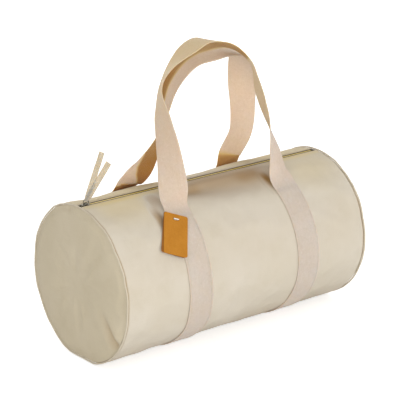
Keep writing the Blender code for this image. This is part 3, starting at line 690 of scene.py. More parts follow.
def webbing_finish(name, main, warm, dark, pitch=0.0016, depth=0.00028):
    """Cotton webbing: crosswise ribs in a herringbone, firmer selvedges and fuzzy wear, with
    painted shade in the rib hollows, a painted shadow line along one edge and the straps' painted
    shade from the mask. It is thin enough to glow a little where the light is behind it."""
    f = Finish(name, roughness=0.86, specular=0.2, sheen=0.18)
    f.shader.inputs["Subsurface Weight"].default_value = 0.75
    f.shader.inputs["Subsurface Radius"].default_value = (1.0, 0.76, 0.52)
    f.shader.inputs["Subsurface Scale"].default_value = 0.0050
    along, across, mask = f.cloth()
    stripe = f.math('MULTIPLY', across, 1.0 / 0.0052)
    zigzag = f.math('ABSOLUTE', f.math('SUBTRACT', f.math('FRACT', stripe), 0.5))
    lean = f.math('MULTIPLY', zigzag, 0.0036)
    rib = f.waves(f.math('ADD', along, lean), pitch)
    yarn = f.waves(across, 0.0009)
    weave = f.math('ADD', f.math('MULTIPLY', rib, 0.5), f.math('MULTIPLY', yarn, 0.35))
    edge = f.spread(f.math('ABSOLUTE', across), 0.0195, 0.0222)
    streak = f.drawn((along, 24.0), (across, 650.0), 2.0, 2.0, 0.55)
    broad = f.noise(f.place(), 16.0, 3.0, 0.55)
    lint = f.noise(f.place(), 900.0, 2.0, 0.5)
    rubbed = f.noise(f.place(), 240.0, 3.0, 0.65)
    colour = f.tint(main, (
        (broad, 0.36, 0.66, 0.0, 1.0, warm),
        (rubbed, 0.50, 0.66, 0.0, 0.40, dark),
        (rubbed, 0.30, 0.42, 0.40, 0.0, rgb(238, 226, 214)),
        (streak, 0.35, 0.75, 0.0, 0.32, dark),
        # painted shade in the hollows of the ribs
        (weave, -0.8, -0.1, 0.30, 0.0, rgb(158, 134, 104)),
        (lint, 0.62, 0.72, 0.0, 0.25, rgb(236, 226, 212)),
        # a painted shadow line along one edge only
        (across, -0.0226, -0.0219, 0.45, 0.0, rgb(160, 136, 108)),
        # the straps' painted shade from the mask, khaki and then orange
        (mask, 0.0, KHAKI_SHADE_TONE, 0.0, 1.0, rgb(216, 192, 138)),
        (mask, KHAKI_SHADE_TONE, 1.0, 0.0, 0.94, rgb(158, 111, 36)),
    ))
    height = f.math('ADD', weave, f.math('MULTIPLY', edge, 0.8))
    fine = f.bump(height, depth)
    soft = f.bump(f.noise(f.place(), 160.0, 3.0, 0.6), 0.0005, 0.5, fine)
    return f.finish(colour, soft, f.spread(streak, 0.3, 0.7, 0.80, 0.92))


def tape_finish(name, main, dark):
    """Woven zip tape: fine ribs along the zip, painted shade in their hollows, a painted shadow
    line.
    """
    f = Finish(name, roughness=0.8, specular=0.25, sheen=0.1)
    along, across = f.cloth()[:2]
    weave = f.math('ADD', f.math('MULTIPLY', f.waves(across, 0.0007), 0.6),
                   f.math('MULTIPLY', f.waves(along, 0.0010), 0.4))
    wear = f.noise(f.place(), 70.0, 3.0, 0.6)
    colour = f.tint(main, (
        (wear, 0.35, 0.7, 0.0, 1.0, dark),
        # painted shade in the hollows of the ribs
        (weave, -0.9, 0.1, 0.25, 0.0, rgb(112, 94, 48)),
        # a painted shadow line beside the teeth, on each tape
        (f.math('ABSOLUTE', across), 0.0042, 0.0047, 0.0, 1.0, rgb(90, 62, 6)),
    ))
    return f.finish(colour, f.bump(weave, 0.00012), f.spread(wear, 0.3, 0.7, 0.72, 0.88))


def teeth_finish(name, main, dark):
    """Nylon zip teeth, pale where they lock and shaded on the spine beside them."""
    f = Finish(name, roughness=0.42, specular=0.45)
    split = f.node("ShaderNodeSeparateXYZ")
    f.join(f.place(), split.inputs[0])
    flow = f.noise(f.place(), 300.0, 3.0, 0.55)
    from_middle = f.math('ABSOLUTE', split.outputs[1])
    colour = f.tint(main, (
        (flow, 0.35, 0.7, 0.0, 0.4, dark),
        (from_middle, 0.0016, 0.0020, 0.0, 1.0, rgb(92, 66, 10)),
    ))
    return f.finish(colour, f.bump(flow, 0.00003, 0.5), f.spread(flow, 0.3, 0.7, 0.36, 0.52))


def thread_finish(name, main, dark):
    """Twisted sewing thread, with painted shade in the grooves of its twist."""
    f = Finish(name, roughness=0.7, specular=0.3, sheen=0.15)
    twist = f.node("ShaderNodeTexWave", wave_type='BANDS', bands_direction='DIAGONAL')
    f.join(f.place(), twist.inputs["Vector"])
    twist.inputs["Scale"].default_value = 900.0
    wear = f.noise(f.place(), 60.0, 2.0, 0.5)
    colour = f.mix(f.spread(wear, 0.35, 0.7), main, dark)
    # painted shade in the grooves of the twist
    colour = f.mix(f.spread(twist.outputs["Fac"], 0.0, 0.5, 0.3, 0.0), colour, dark)
    return f.finish(colour, f.bump(twist.outputs["Fac"], 0.0001), 0.7)


def metal_finish(name, main, dark, roughness):
    """Cast zip metal: fine tumbling marks, and darker and brighter worn places."""
    f = Finish(name, roughness=roughness, metallic=1.0, specular=0.5)
    grain = f.noise(f.place(), 2600.0, 3.0, 0.6)
    wear = f.noise(f.place(), 420.0, 3.0, 0.6)
    colour = f.mix(f.spread(wear, 0.35, 0.65), dark, main)
    rough = f.math('ADD', f.spread(grain, 0.3, 0.7, roughness - 0.08, roughness + 0.14),
                   f.spread(wear, 0.4, 0.7, 0.08, 0.0))
    return f.finish(colour, f.bump(grain, 0.00004, 0.6), rough)


def plastic_finish(name, main, dark, roughness):
    """Moulded plastic: faint flow marks and a softly uneven gloss."""
    f = Finish(name, roughness=roughness, specular=0.45)
    flow = f.noise(f.place(), 260.0, 3.0, 0.55)
    grain = f.noise(f.place(), 1500.0, 2.0, 0.5)
    colour = f.mix(f.spread(flow, 0.35, 0.7), main, dark)
    rough = f.spread(flow, 0.3, 0.7, roughness - 0.06, roughness + 0.12)
    return f.finish(colour, f.bump(grain, 0.00003, 0.5), rough)


def card_finish(name, main, warm, dark):
    """Dyed kraft card: pulp fibres, flecks, faint mottling and a softly calendered face."""
    f = Finish(name, roughness=0.72, specular=0.25)
    place = f.place()
    pulp = f.noise(place, 60.0, 4.0, 0.6)
    fibre = f.node("ShaderNodeTexNoise")
    stretch = f.node("ShaderNodeMapping")
    stretch.inputs["Scale"].default_value = (900.0, 160.0, 420.0)
    stretch.inputs["Rotation"].default_value = (0.4, 0.3, 0.6)
    f.join(place, stretch.inputs["Vector"])
    f.join(stretch.outputs[0], fibre.inputs["Vector"])
    fibre.inputs["Scale"].default_value = 1.0
    fibre.inputs["Detail"].default_value = 3.0
    flecks = f.noise(place, 1400.0, 2.0, 0.5)
    colour = f.tint(main, (
        (pulp, 0.35, 0.68, 0.0, 1.0, warm),
        (fibre.outputs["Fac"], 0.55, 0.72, 0.0, 0.42, dark),
        (flecks, 0.66, 0.74, 0.0, 0.4, rgb(226, 178, 104)),
    ))
    height = f.math('ADD', fibre.outputs["Fac"], f.math('MULTIPLY', flecks, 0.5))
    return f.finish(colour, f.bump(height, 0.00008), f.spread(pulp, 0.3, 0.7, 0.62, 0.80))


CANVAS = canvas_finish("canvas_cloth", rgb(218, 209, 194), rgb(214, 204, 186), rgb(202, 190, 167))
# The ends' canvas is a darker, yellower copy of the body's canvas: painted shade of the ends
END_CANVAS_SHADED = canvas_finish("end_canvas_shaded_cloth", rgb(213, 201, 177), rgb(207, 195, 169),
                           rgb(194, 180, 150))
SEAM = canvas_finish("piping_cloth", rgb(219, 209, 189), rgb(213, 201, 179), rgb(198, 184, 158),
                     pitch=0.0007)
BINDING = canvas_finish("binding_cloth", rgb(212, 202, 184), rgb(206, 194, 172),
                        rgb(190, 176, 150), pitch=0.0006)
WEBBING = webbing_finish("webbing_cotton", rgb(228, 208, 194), rgb(223, 202, 186),
                         rgb(212, 191, 170))
TAPE = tape_finish("zip_tape_weave", rgb(232, 206, 128), rgb(216, 188, 110))
TEETH = teeth_finish("zip_teeth_nylon", rgb(224, 200, 112), rgb(200, 174, 90))
METAL = metal_finish("zip_metal", rgb(114, 108, 92), rgb(58, 54, 42), 0.30)
RIBBON = webbing_finish("ribbon_cotton", rgb(194, 182, 167), rgb(187, 174, 156),
                        rgb(171, 156, 134), pitch=0.0011, depth=0.00014)
CARD = card_finish("tag_card_front", rgb(187, 124, 34), rgb(179, 116, 30), rgb(150, 92, 24))
# The back leaf's card is a darker copy of the front's: painted shade
CARD_SHADED = card_finish("tag_card_back", rgb(150, 96, 38), rgb(140, 88, 34), rgb(112, 68, 24))
FASTENER = plastic_finish("fastener_nylon", rgb(238, 236, 230), rgb(226, 222, 212), 0.38)
THREAD = thread_finish("sewing_thread", rgb(226, 215, 196), rgb(200, 184, 154))


# Cloth

CLOTH_SETTINGS = {
    "quality": 6, "mass": 0.25, "tension_stiffness": 22.0, "compression_stiffness": 14.0,
    "shear_stiffness": 8.0, "bending_stiffness": 0.35, "tension_damping": 12.0,
    "compression_damping": 12.0, "shear_damping": 8.0, "air_damping": 4.0, "use_pressure": True,
}


def settle(name, points, held, growth, pressure, frames, wrap=False):
    """Blender's cloth on a grid of points: air pushes the slack sheet out between the places
    where it is held. Returns how far each point moved."""
    rows, columns = points.shape[:2]
    index = np.arange(rows * columns).reshape(rows, columns)
    if wrap:
        index = np.concatenate([index, index[:, :1]], axis=1)
    thing = mesh_object(name, points.reshape(-1, 3), quads(index), None, CANVAS)
    group = thing.vertex_groups.new(name="held")
    for vertex, weight in enumerate(np.asarray(held, float).ravel()):
        if weight > 0.01:
            group.add([vertex], float(weight), 'REPLACE')
    cloth = thing.modifiers.new("cloth", 'CLOTH')
    settings = cloth.settings
    for key, value in CLOTH_SETTINGS.items():
        setattr(settings, key, value)
    settings.uniform_pressure_force = pressure
    settings.vertex_group_mass = "held"
    settings.shrink_min = -growth
    settings.effector_weights.gravity = 0.0
    cloth.point_cache.frame_start = 1
    cloth.point_cache.frame_end = frames
    for number in range(1, frames + 1):
        bpy.context.scene.frame_set(number)
    solved = thing.evaluated_get(bpy.context.evaluated_depsgraph_get())
    moved = np.zeros(rows * columns * 3)
    solved.data.vertices.foreach_get("co", moved)
    bpy.data.objects.remove(thing)
    bpy.context.scene.frame_set(1)
    return moved.reshape(points.shape) - points


def softened(field, times):
    """A grid of values, each mixed with its neighbours a number of times."""
    field = field.copy()
    for _ in range(times):
        padded = np.pad(field, 1, mode="edge")
        field = (padded[1:-1, 1:-1] * 4 + padded[:-2, 1:-1] + padded[2:, 1:-1]
                 + padded[1:-1, :-2] + padded[1:-1, 2:]) / 8.0
    return field


class Barrel:
    """The canvas surface of the barrel: its offset from the plain barrel at any place."""

    def __init__(self):
        self.x = np.linspace(-BODY_END_X, BODY_END_X, int(2 * BODY_END_X / CLOTH_STEP))
        girth = 2 * math.pi * BAG_RADIUS
        self.turn = np.linspace(SLOT_DEGREES, 360.0 - SLOT_DEGREES, int(girth / CLOTH_STEP))
        self.slack = np.zeros((len(self.x), len(self.turn)))
        self.inflate()

    def inflate(self):
        """The cloth's own puckers between the zip, the bands' stitching and the end seams."""
        grid_x, grid_turn = np.meshgrid(self.x, self.turn, indexing="ij")
        points = on_barrel(grid_x, np.zeros_like(grid_x), grid_turn)
        uneven = ripple(points, 0.030, 2.0) * 0.0006
        points = points + uneven[..., None] * grid_normals(points)
        held = np.ones(grid_x.shape)
        held[2:-2, 3:-3] = 0.0
        for centre in (BAND_LEFT_X, BAND_RIGHT_X):
            for side in (-1, 1):
                line = centre + side * (WEBBING_WIDTH / 2 - 0.003)
                row = int(np.argmin(np.abs(self.x - line)))
                held[row, :] = 1.0
        moved = settle("body_cloth", points, held, *BODY_CLOTH)
        lift = (moved * unit(from_axis(points))).sum(axis=-1)
        self.slack = softened(np.clip(lift * 0.5, *BODY_SLACK_CAPS), 2)

    def offset(self, x, degrees):
        """Offset of the canvas from the plain barrel, outward positive."""
        x, degrees = np.broadcast_arrays(np.asarray(x, float), np.asarray(degrees, float))
        turn = degrees % 360.0
        column = np.interp(turn, self.turn, np.arange(len(self.turn)))
        row = np.interp(x, self.x, np.arange(len(self.x)))
        i = np.clip(row.astype(int), 0, len(self.x) - 2)
        j = np.clip(column.astype(int), 0, len(self.turn) - 2)
        s, t = row - i, column - j
        field = self.slack
        slack = (field[i, j] * (1 - s) * (1 - t) + field[i + 1, j] * s * (1 - t)
                 + field[i, j + 1] * (1 - s) * t + field[i + 1, j + 1] * s * t)
        near_end = share_between(0.0, 0.012, BAG_LENGTH / 2 - np.abs(x))
        free = zip_edge(turn) * (0.15 + 0.85 * near_end)
        banded = np.ones(x.shape)
        for centre in (BAND_LEFT_X, BAND_RIGHT_X):
            gap = np.abs(x - centre)
            banded = banded * (1.0 - 0.5 * (1 - share_between(0.019, 0.028, gap)))
        shaped = dents(x, turn) + creases(x, turn) + ribs(x, turn)
        return free * (shaped * banded + slack)


BARREL = Barrel()


def build_body():
    """The wrapped canvas panel, hemmed along the zip."""
    inner = BODY_END_X - EDGE_ROWS_REACH
    edge = BODY_END_X - EDGE_ROWS_REACH * (1.0 - np.linspace(0.0, 1.0, 9)[1:] ** 0.7)
    xs = np.concatenate([-edge[::-1], np.linspace(-inner, inner, int(2 * inner / BODY_STEP)),
                         edge])
    girth = 2 * math.pi * BAG_RADIUS
    turns = np.linspace(SLOT_DEGREES, 360.0 - SLOT_DEGREES, int(girth / BODY_STEP))
    grid_x, grid_turn = np.meshgrid(xs, turns, indexing="ij")
    offset = BARREL.offset(grid_x, grid_turn)
    from_end = BODY_END_X - np.abs(grid_x)
    offset = offset - SEAM_TUCK * np.exp(-(from_end / SEAM_TUCK_REACH) ** 2)
    from_zip = np.radians(np.abs(signed(grid_turn)) - SLOT_DEGREES) * BAG_RADIUS
    along, outward = seam_sway(grid_x, grid_turn)
    points = on_barrel(grid_x + along, offset + hem_lift(from_zip) + outward, grid_turn)
    # Painted shade: a dark line in the tuck by each end seam, added to the table's painted shade
    # and light
    seam_shade = SEAM_SHADE * np.exp(-(from_end / SEAM_SHADE_REACH) ** 2)
    shade = np.clip(patches(PAINTED_SHADE_SHARES, grid_x, grid_turn) + seam_shade, -1.0, 1.25)
    cloth = cloth_map(np.radians(grid_turn) * BAG_RADIUS, grid_x, shade)
    body = shell("body_canvas", points[:, ::-1], cloth[:, ::-1], CANVAS_THICKNESS, CANVAS)
    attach(body, "bag")
    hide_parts("body_panel")


def rim_ring(radius, turns):
    """The rim of an end panel at a radius: a circle that is flat where it rests."""
    y, z = section(radius - BAG_RADIUS, turns)
    return y, z - AXIS_Z


# The long fold low at the front of the left end: its inner and outer end, as turn in degrees
# and share of the radius, its half width as a share of the radius, and its depth as a share
# of the dome's height
LONG_FOLD_SHARES = ((103.0, 0.50), (127.0, 1.02), 0.046, 1.00)

# Folds of an end panel: turn in degrees, half width in degrees at the rim, how far it runs
# in from the rim as a share of the radius, and depth as a share of the dome's height
END_FOLD_SHARES = (
    (-11.0, 2.4, 0.13, -0.50), (-17.0, 2.0, 0.10, -0.46), (-24.0, 2.4, 0.09, -0.34),
    (28.0, 6.0, 0.16, -0.12),
    (60.0, 7.0, 0.14, -0.10), (90.0, 8.0, 0.18, -0.12), (-70.0, 8.0, 0.20, -0.14),
    (-110.0, 9.0, 0.24, -0.18), (165.0, 8.0, 0.18, -0.14), (-150.0, 8.0, 0.20, -0.14),
)


def build_end(side, word):
    """A slack domed end, gathered a little at its seam and folded low at the front."""
    shares = np.linspace(0.0, 1.0, END_RINGS + 1)[1:]
    turns = np.arange(END_SPOKES) * 360.0 / END_SPOKES
    grid_share, grid_turn = np.meshgrid(shares, turns, indexing="ij")
    rim_y, rim_z = rim_ring(END_RIM_RADIUS, grid_turn)
    sway_along, sway_out = seam_sway(np.full_like(grid_turn, side * BAG_LENGTH / 2), grid_turn)
    swollen = grid_share * (1.0 + sway_out / END_RIM_RADIUS * grid_share ** 3)
    y, z = rim_y * swollen, rim_z * swollen
    height = END_DOME_HEIGHT * (1.0 - grid_share ** 2)
    flat = np.stack([np.full_like(y, side * 0.3), y, z], axis=-1)
    slack = np.zeros_like(height)
    start = np.stack([side * (BAG_LENGTH / 2 + height + ripple(flat, 0.02, 1.0) * 0.0004),
                      y, z + AXIS_Z], axis=-1)
    held = (grid_share > 0.985).astype(float)
    moved = settle("end_cloth_" + word, start[:, ::side], held[:, ::side], *END_CLOTH,
                   wrap=True)[:, ::side]
    slack = softened(np.clip(moved[..., 0] * side, *END_SLACK_CAPS), 2)
    slack = slack * share_between(0.04, 0.40, grid_share)
    folds = np.zeros_like(height)
    for turn, width, reach, depth in END_FOLD_SHARES:
        off = signed(grid_turn - turn) / width
        run = share_between(1.0 - reach, 1.0, grid_share)
        sewn = 1.0 - share_between(0.93, 1.0, grid_share) * 0.75
        folds = folds + END_DOME_HEIGHT * depth * np.exp(-off ** 2) * run * sewn
    folds = folds + long_fold(y, z, grid_share) * (1.0 if side < 0 else 0.35)
    wide = ripple(flat, 0.060, 6.0) * 0.0011 + ripple(flat, 0.024, 9.0) * 0.0004
    free = 1.0 - share_between(0.90, 1.0, grid_share)
    out = height + folds + (wide + slack) * free
    out = np.minimum(out, END_DOME_HEIGHT + 0.004)
    wander = sway_along * share_between(0.4, 1.0, grid_share)
    points = np.stack([side * (BAG_LENGTH / 2 + out) + wander, y, z + AXIS_Z], axis=-1)
    # Painted shade in the end's folds, by their depth
    painted_fold_shade = np.clip(-folds / (END_DOME_HEIGHT * 0.9), 0.0, 1.0) * 0.42
    points, cloth = points[:, ::side], cloth_map(z, y, painted_fold_shade)[:, ::side]
    panel = shell("end_canvas_" + word, points, cloth, CANVAS_THICKNESS, END_CANVAS_SHADED, wrap=True)
    close_middle(panel, points, cloth)
    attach(panel, "bag")
    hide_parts("end_panel_" + word)


def long_fold(y, z, grid_share):
    """A crease from the rim inwards, sharp on its front side, with a soft roll behind it."""
    inner, outer, width, depth = LONG_FOLD_SHARES
    ends = []
    for turn, share in (inner, outer):
        ends.append(np.array([-math.sin(math.radians(turn)), math.cos(math.radians(turn))])
                    * share * END_RIM_RADIUS)
    run = ends[1] - ends[0]
    length = np.linalg.norm(run)
    run = run / length
    from_inner = np.stack([y - ends[0][0], z - ends[0][1]], axis=-1)
    place = np.clip((from_inner @ run) / length, 0.0, 1.0)
    across = (from_inner[..., 0] * run[1] - from_inner[..., 1] * run[0]) / END_RIM_RADIUS
    grown = share_between(0.0, 0.75, place) * (1.0 - 0.6 * share_between(0.95, 1.0, grid_share))
    crease = np.where(across < 0, np.exp(-(across / (width * 1.9)) ** 2),
                      np.exp(-(across / width) ** 2))
    roll = np.exp(-((across - width * 2.2) / (width * 1.6)) ** 2)
    return END_DOME_HEIGHT * depth * grown * (0.45 * roll - crease)


def close_middle(panel, points, cloth):
    """Fills the small hole in the middle of both faces of an end panel."""
    mesh = panel.data
    spokes, count = END_SPOKES, END_SPOKES * END_RINGS
    verts = [tuple(v.co) for v in mesh.vertices]
    mask = np.zeros(len(verts) * 3, np.float32)
    mesh.attributes["cloth"].data.foreach_get("vector", mask)
    faces = [tuple(p.vertices) for p in mesh.polygons]
    rim = set(range(spokes)) | set(range(count, count + spokes))
    faces = [face for face in faces if not (set(face) <= rim and min(face) < spokes
                                            and max(face) >= count)]
    middle = np.mean(points[0], axis=0)
    inward = np.array([-math.copysign(CANVAS_THICKNESS, middle[0]), 0.0, 0.0])
    verts += [tuple(middle), tuple(middle + inward)]
    front, back = len(verts) - 2, len(verts) - 1
    for k in range(spokes):
        near, far = k, (k + 1) % spokes
        faces.append((front, near, far))
        faces.append((back, count + far, count + near))
    mask = np.concatenate([mask.reshape(-1, 3), [np.mean(cloth[0], axis=0)] * 2])
    panel.data = bpy.data.meshes.new(panel.name)
    fill_mesh(panel.data, verts, faces, mask, mesh.materials[0])


def build_seam(side, word):
    """The raised seam round one end, and the binding over the raw edges behind it."""
    turns = np.arange(0.0, 360.0, 1.0)
    wobble = ripple(np.stack([np.cos(np.radians(turns)), np.sin(np.radians(turns)),
                              np.full_like(turns, side)], axis=-1), 0.12)
    along, outward = seam_sway(np.full_like(turns, side * BAG_LENGTH / 2), turns)
    centre = on_barrel(side * (BAG_LENGTH / 2) + wobble * SEAM_WOBBLE + along,
                       wobble * SEAM_WOBBLE + outward, turns)
    outs = unit(from_axis(centre))
    along = unit(np.roll(centre, -1, axis=0) - np.roll(centre, 1, axis=0))
    sides = np.cross(along, outs)
    corners = np.radians(np.arange(SEAM_CORNERS) * 360.0 / SEAM_CORNERS)
    pinch = 1.0 + SEAM_PINCH_SHARE * np.sin(turns * 2 * math.pi / SEAM_PINCH_DEGREES)
    radius = SEAM_RIDGE_RADIUS * 0.85 * pinch
    spokes = (sides[:, None] * np.cos(corners)[None, :, None]
              + outs[:, None] * np.sin(corners)[None, :, None])
    rings = centre[:, None] + spokes * radius[:, None, None]
    cloth = cloth_map(arc_lengths(centre)[:, None], (corners * SEAM_RIDGE_RADIUS)[None])
    ridge = tube("end_piping_" + word, rings, cloth, SEAM, closed=True)
    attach(ridge, "bag")
    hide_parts("end_seam_" + word)

    notch = math.degrees((TAPE_INNER_Y + TAPE_WIDTH + FIT_GAP) / BAG_RADIUS)
    around = np.linspace(notch, 360.0 - notch, 240)
    inner = side * INNER_END_X
    xs = np.linspace(inner, inner - side * BINDING_WIDTH, 7)
    grid_x, grid_turn = np.meshgrid(xs, around, indexing="ij")
    wave = ripple(on_barrel(grid_x, 0.0, grid_turn), 0.02, 3.0) * 0.0002
    along, outward = seam_sway(grid_x, grid_turn)
    points = on_barrel(grid_x + along, outward - (SEAM_RIDGE_RADIUS + FIT_GAP) - 0.0004 + wave,
                       grid_turn)
    cloth = cloth_map(np.radians(grid_turn) * BAG_RADIUS, grid_x)
    tape = shell("seam_tape_" + word, points[:, ::side], cloth[:, ::side],
                 BINDING_THICKNESS * 0.8, BINDING)
    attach(tape, "bag")
    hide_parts("seam_binding_" + word)


# Sideways drift of each band round the barrel: degrees from the top to the front, and the
# drift as a share of the webbing's width
LEFT_DRIFT_SHARES = ((-180.0, 0.0), (28.0, 0.0), (67.0, -0.03), (85.0, 0.0), (105.0, 0.07),
                     (125.0, 0.16), (180.0, 0.0))
RIGHT_DRIFT_SHARES = ((-180.0, 0.0), (28.0, 0.03), (60.0, 0.055), (85.0, 0.10), (110.0, 0.165),
                      (130.0, 0.17), (180.0, 0.0))


def band_drift(centre_x, degrees):
    """Sideways drift of a band at an angle, in metres."""
    shares = LEFT_DRIFT_SHARES if centre_x < 0 else RIGHT_DRIFT_SHARES
    angles = [row[0] for row in shares]
    drifts = [row[1] * WEBBING_WIDTH for row in shares]
    return np.interp(signed(degrees), angles, drifts)


PROFILE = strap_profile(WEBBING_WIDTH, STRAP_THICKNESS, STRAP_COLUMNS)


def band_ring(centre_x, degrees, sign):
    """The section of a band at an angle, lying on the canvas."""
    x = centre_x + band_drift(centre_x, degrees) + sign * PROFILE[:, 0]
    canvas = BARREL.offset(x, degrees)
    lie = np.maximum(0.5 * canvas + 0.5 * canvas.mean(), canvas)
    return on_barrel(x, lie + FIT_GAP + STRAP_THICKNESS / 2 + PROFILE[:, 1], degrees)


def strap_painted_shade(lengths, painted_shades):
    """Painted shade of one face of a strap by its table: khaki up to KHAKI_SHADE_TONE, then orange.
    """
    table = np.array(painted_shades)
    edge, warm, yellow = [
        np.interp(lengths / lengths[-1], table[:, 0], column)[:, None] for column in table.T[1:]]
    place = PROFILE[None, :, 0] / (WEBBING_WIDTH / 2)
    warm = warm * share_between(edge - 0.14, edge + 0.14, place)
    return KHAKI_SHADE_TONE * yellow * (1.0 - warm) + warm


def strap_cloth(lengths, painted_shades=None):
    """Cloth coordinates of a strap's rings: length along, place across, and the painted shade by
    the tables of its outer and inner face."""
    # The painted shade of the strap, from the tables of both faces
    tone = 0.0
    if painted_shades is not None:
        outer = share_between(-0.6, 0.6, PROFILE[None, :, 1] / (STRAP_THICKNESS / 2))
        tone = strap_painted_shade(lengths, painted_shades[0]) * outer + strap_painted_shade(lengths, painted_shades[1]) * (1 - outer)
    return cloth_map(lengths[:, None], PROFILE[None, :, 0], tone)


def build_band(centre_x, word):
    """Webbing sewn round the barrel between the tails of the two handles, and its stitches."""
    start = FRONT_FOOT_DEGREES + FOOT_TAIL_DEGREES
    end = 360.0 - BACK_FOOT_DEGREES - FOOT_TAIL_DEGREES
    turns = np.linspace(start, end, int((end - start) / BAND_STEP_DEGREES))
    rings = np.stack([band_ring(centre_x, turn, 1.0) for turn in turns])
    cloth = strap_cloth(np.radians(turns) * BAG_RADIUS)
    band = tube("band_" + word, rings[:, ::-1], cloth[:, ::-1], WEBBING)
    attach(band, "bag")
    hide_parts("strap_band_" + word)

    lines = []
    for edge in (-1, 1):
        column = int(np.argmin(np.abs(PROFILE[:STRAP_COLUMNS + 1, 0] - edge * BAND_ROW)))
        points = rings[:, column]
        outs = unit(from_axis(points))
        lines.append((points + outs * 0.0001, outs))
    sewing = threads("band_stitching_" + word, lines, *BAND_STITCH, THREAD)
    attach(sewing, "bag")


def build_zip():
    """The two tapes under the hems, and the topstitching along both hems."""
    for side, word in ((1, "front"), (-1, "back")):
        inner = math.degrees(TAPE_INNER_Y / BAG_RADIUS)
        outer = math.degrees((TAPE_INNER_Y + TAPE_WIDTH) / BAG_RADIUS)
        turns = np.linspace(inner, outer, 15) * side
        xs = np.linspace(-INNER_END_X, INNER_END_X, ZIP_ROWS)
        grid_x, grid_turn = np.meshgrid(xs, turns, indexing="ij")
        under = np.abs(grid_turn) > SLOT_DEGREES - 0.4
        wave = ripple(on_barrel(grid_x, 0.0, grid_turn), 0.012, 5.0) * 0.00012
        offset = -(CANVAS_THICKNESS + FIT_GAP) - 0.00015 + np.where(under, 0.0, wave)
        lowered = np.minimum(0.0, BARREL.offset(grid_x, np.maximum(
            np.abs(grid_turn), SLOT_DEGREES) * side))
        points = on_barrel(grid_x, offset + lowered, grid_turn)
        cloth = cloth_map(grid_x, np.radians(grid_turn) * BAG_RADIUS)
        tape = shell("zip_cloth_" + word, points[:, ::-side], cloth[:, ::-side],
                     TAPE_THICKNESS * 0.8, TAPE)
        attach(tape, "bag")
        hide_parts("zip_tape_" + word)
    lines = []
    xs = np.linspace(-BODY_END_X + 0.004, BODY_END_X - 0.004, 200)
    for side in (-1, 1):
        for reach in HEM_ROWS:
            turn = side * (SLOT_DEGREES + math.degrees(reach / BAG_RADIUS))
            offset = BARREL.offset(xs, turn) + hem_lift(reach) + 0.00005
            points = on_barrel(xs, offset, turn)
            lines.append((points, from_axis(points)))
    sewing = threads("zip_stitching", lines, *HEM_STITCH, THREAD)
    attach(sewing, "bag")


def build_handle(word, shares, painted_shades, foot_degrees, facing):
    """A webbing handle with a tail at each foot that runs on into the band."""
    pivot_y = facing * PIVOT_RADIUS * math.sin(math.radians(foot_degrees))
    pivot_z = AXIS_Z + PIVOT_RADIUS * math.cos(math.radians(foot_degrees))
    rows = catmull_rom(shares, 12)
    centres = np.stack([HANDLE_MID_X + rows[:, 0] * BAND_HALF_SPACING, pivot_y * rows[:, 1],
                        pivot_z + rows[:, 2] * HANDLE_RISE], axis=1)
    turns = rows[:, 3]
    tail_turns = np.linspace(foot_degrees + FOOT_TAIL_DEGREES, foot_degrees, 9)[:-1]
    tails = []
    for centre_x in (BAND_LEFT_X, BAND_RIGHT_X):
        points = []
        for turn in tail_turns:
            away = (turn - foot_degrees) / FOOT_TAIL_DEGREES
            level = (PIVOT_RADIUS - BAG_RADIUS) * (1 - away) + (
                FIT_GAP + STRAP_THICKNESS / 2) * away
            degrees = -facing * turn
            x = centre_x + float(band_drift(centre_x, degrees)) * away
            points.append(on_barrel(x, level, degrees))
        tails.append(np.array(points))
    count = len(tail_turns)
    centres = np.concatenate([tails[0], centres, tails[1][::-1]])
    turns = np.concatenate([np.full(count, turns[0]), turns, np.full(count, turns[-1])])
    lengths = arc_lengths(centres)
    first, last = lengths[count], lengths[-1 - count]
    table = resample(np.column_stack([centres, turns, lengths]), lengths, STRAP_STEP)
    centres, turns, lengths = table[:, :3], table[:, 3], table[:, 4]
    for _ in range(BEND_ROUNDS):
        away = np.minimum(np.abs(lengths - first), np.abs(lengths - last))
        weight = (1.0 - share_between(BEND_REACH * 0.4, BEND_REACH, away))[1:-1, None]
        middle = (centres[:-2] + centres[2:]) / 2
        centres[1:-1] += (middle - centres[1:-1]) * weight * 0.7
    flat, lift = [
        np.minimum(share_between(first, first + reach, lengths),
                   1.0 - share_between(last - reach, last, lengths))
        for reach in (LEVEL_REACH, WAVE_REACH)]
    along = unit(np.gradient(centres, axis=0))
    along_level = along.copy()
    along_level[:, 0] *= flat
    along_level = unit(along_level)
    level = unit(np.array([0.0, 1.0, 0.0]) - along_level * along_level[:, 1:2])
    angle = np.radians(90.0) * turns[:, None]
    acrosses = unit(level * np.cos(angle) + np.cross(along_level, level) * np.sin(angle))
    outs = unit(np.cross(along, acrosses))
    cup = STRAP_CUP * (1.0 - (2 * PROFILE[:, 0] / WEBBING_WIDTH) ** 2)
    wave = ripple(centres + 1.0, 0.045, 2.0) * 0.5
    offsets = PROFILE[None, :, 1] + (cup[None] - STRAP_CUP / 2) * (lift * wave)[:, None]
    edge_wave = ripple(centres, 0.030, 9.0) * STRAP_EDGE_WAVE
    side_share = (PROFILE[:, 0] / (WEBBING_WIDTH / 2)) ** 3
    offsets = offsets + side_share[None] * (edge_wave * lift)[:, None]
    rings = (centres[:, None] + acrosses[:, None] * PROFILE[None, :, :1]
             + outs[:, None] * offsets[..., None])
    for row in range(len(lengths)):
        if lengths[row] < first:
            centre_x, away = BAND_LEFT_X, 1.0 - lengths[row] / first
        elif lengths[row] > last:
            centre_x, away = BAND_RIGHT_X, (lengths[row] - last) / (lengths[-1] - last)
        else:
            continue
        degrees = -facing * (foot_degrees + FOOT_TAIL_DEGREES * away)
        sign = math.copysign(1.0, acrosses[row, 0])
        laid = band_ring(centre_x, degrees % 360.0, sign)
        share = float(share_between(0.25, 1.0, away))
        rings[row] = rings[row] * (1 - share) + laid * share
    cloth = strap_cloth(lengths, painted_shades)
    name = word + "_handle"
    strap = tube("handle_" + word, rings, cloth, WEBBING)
    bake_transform(strap)
    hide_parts(name)


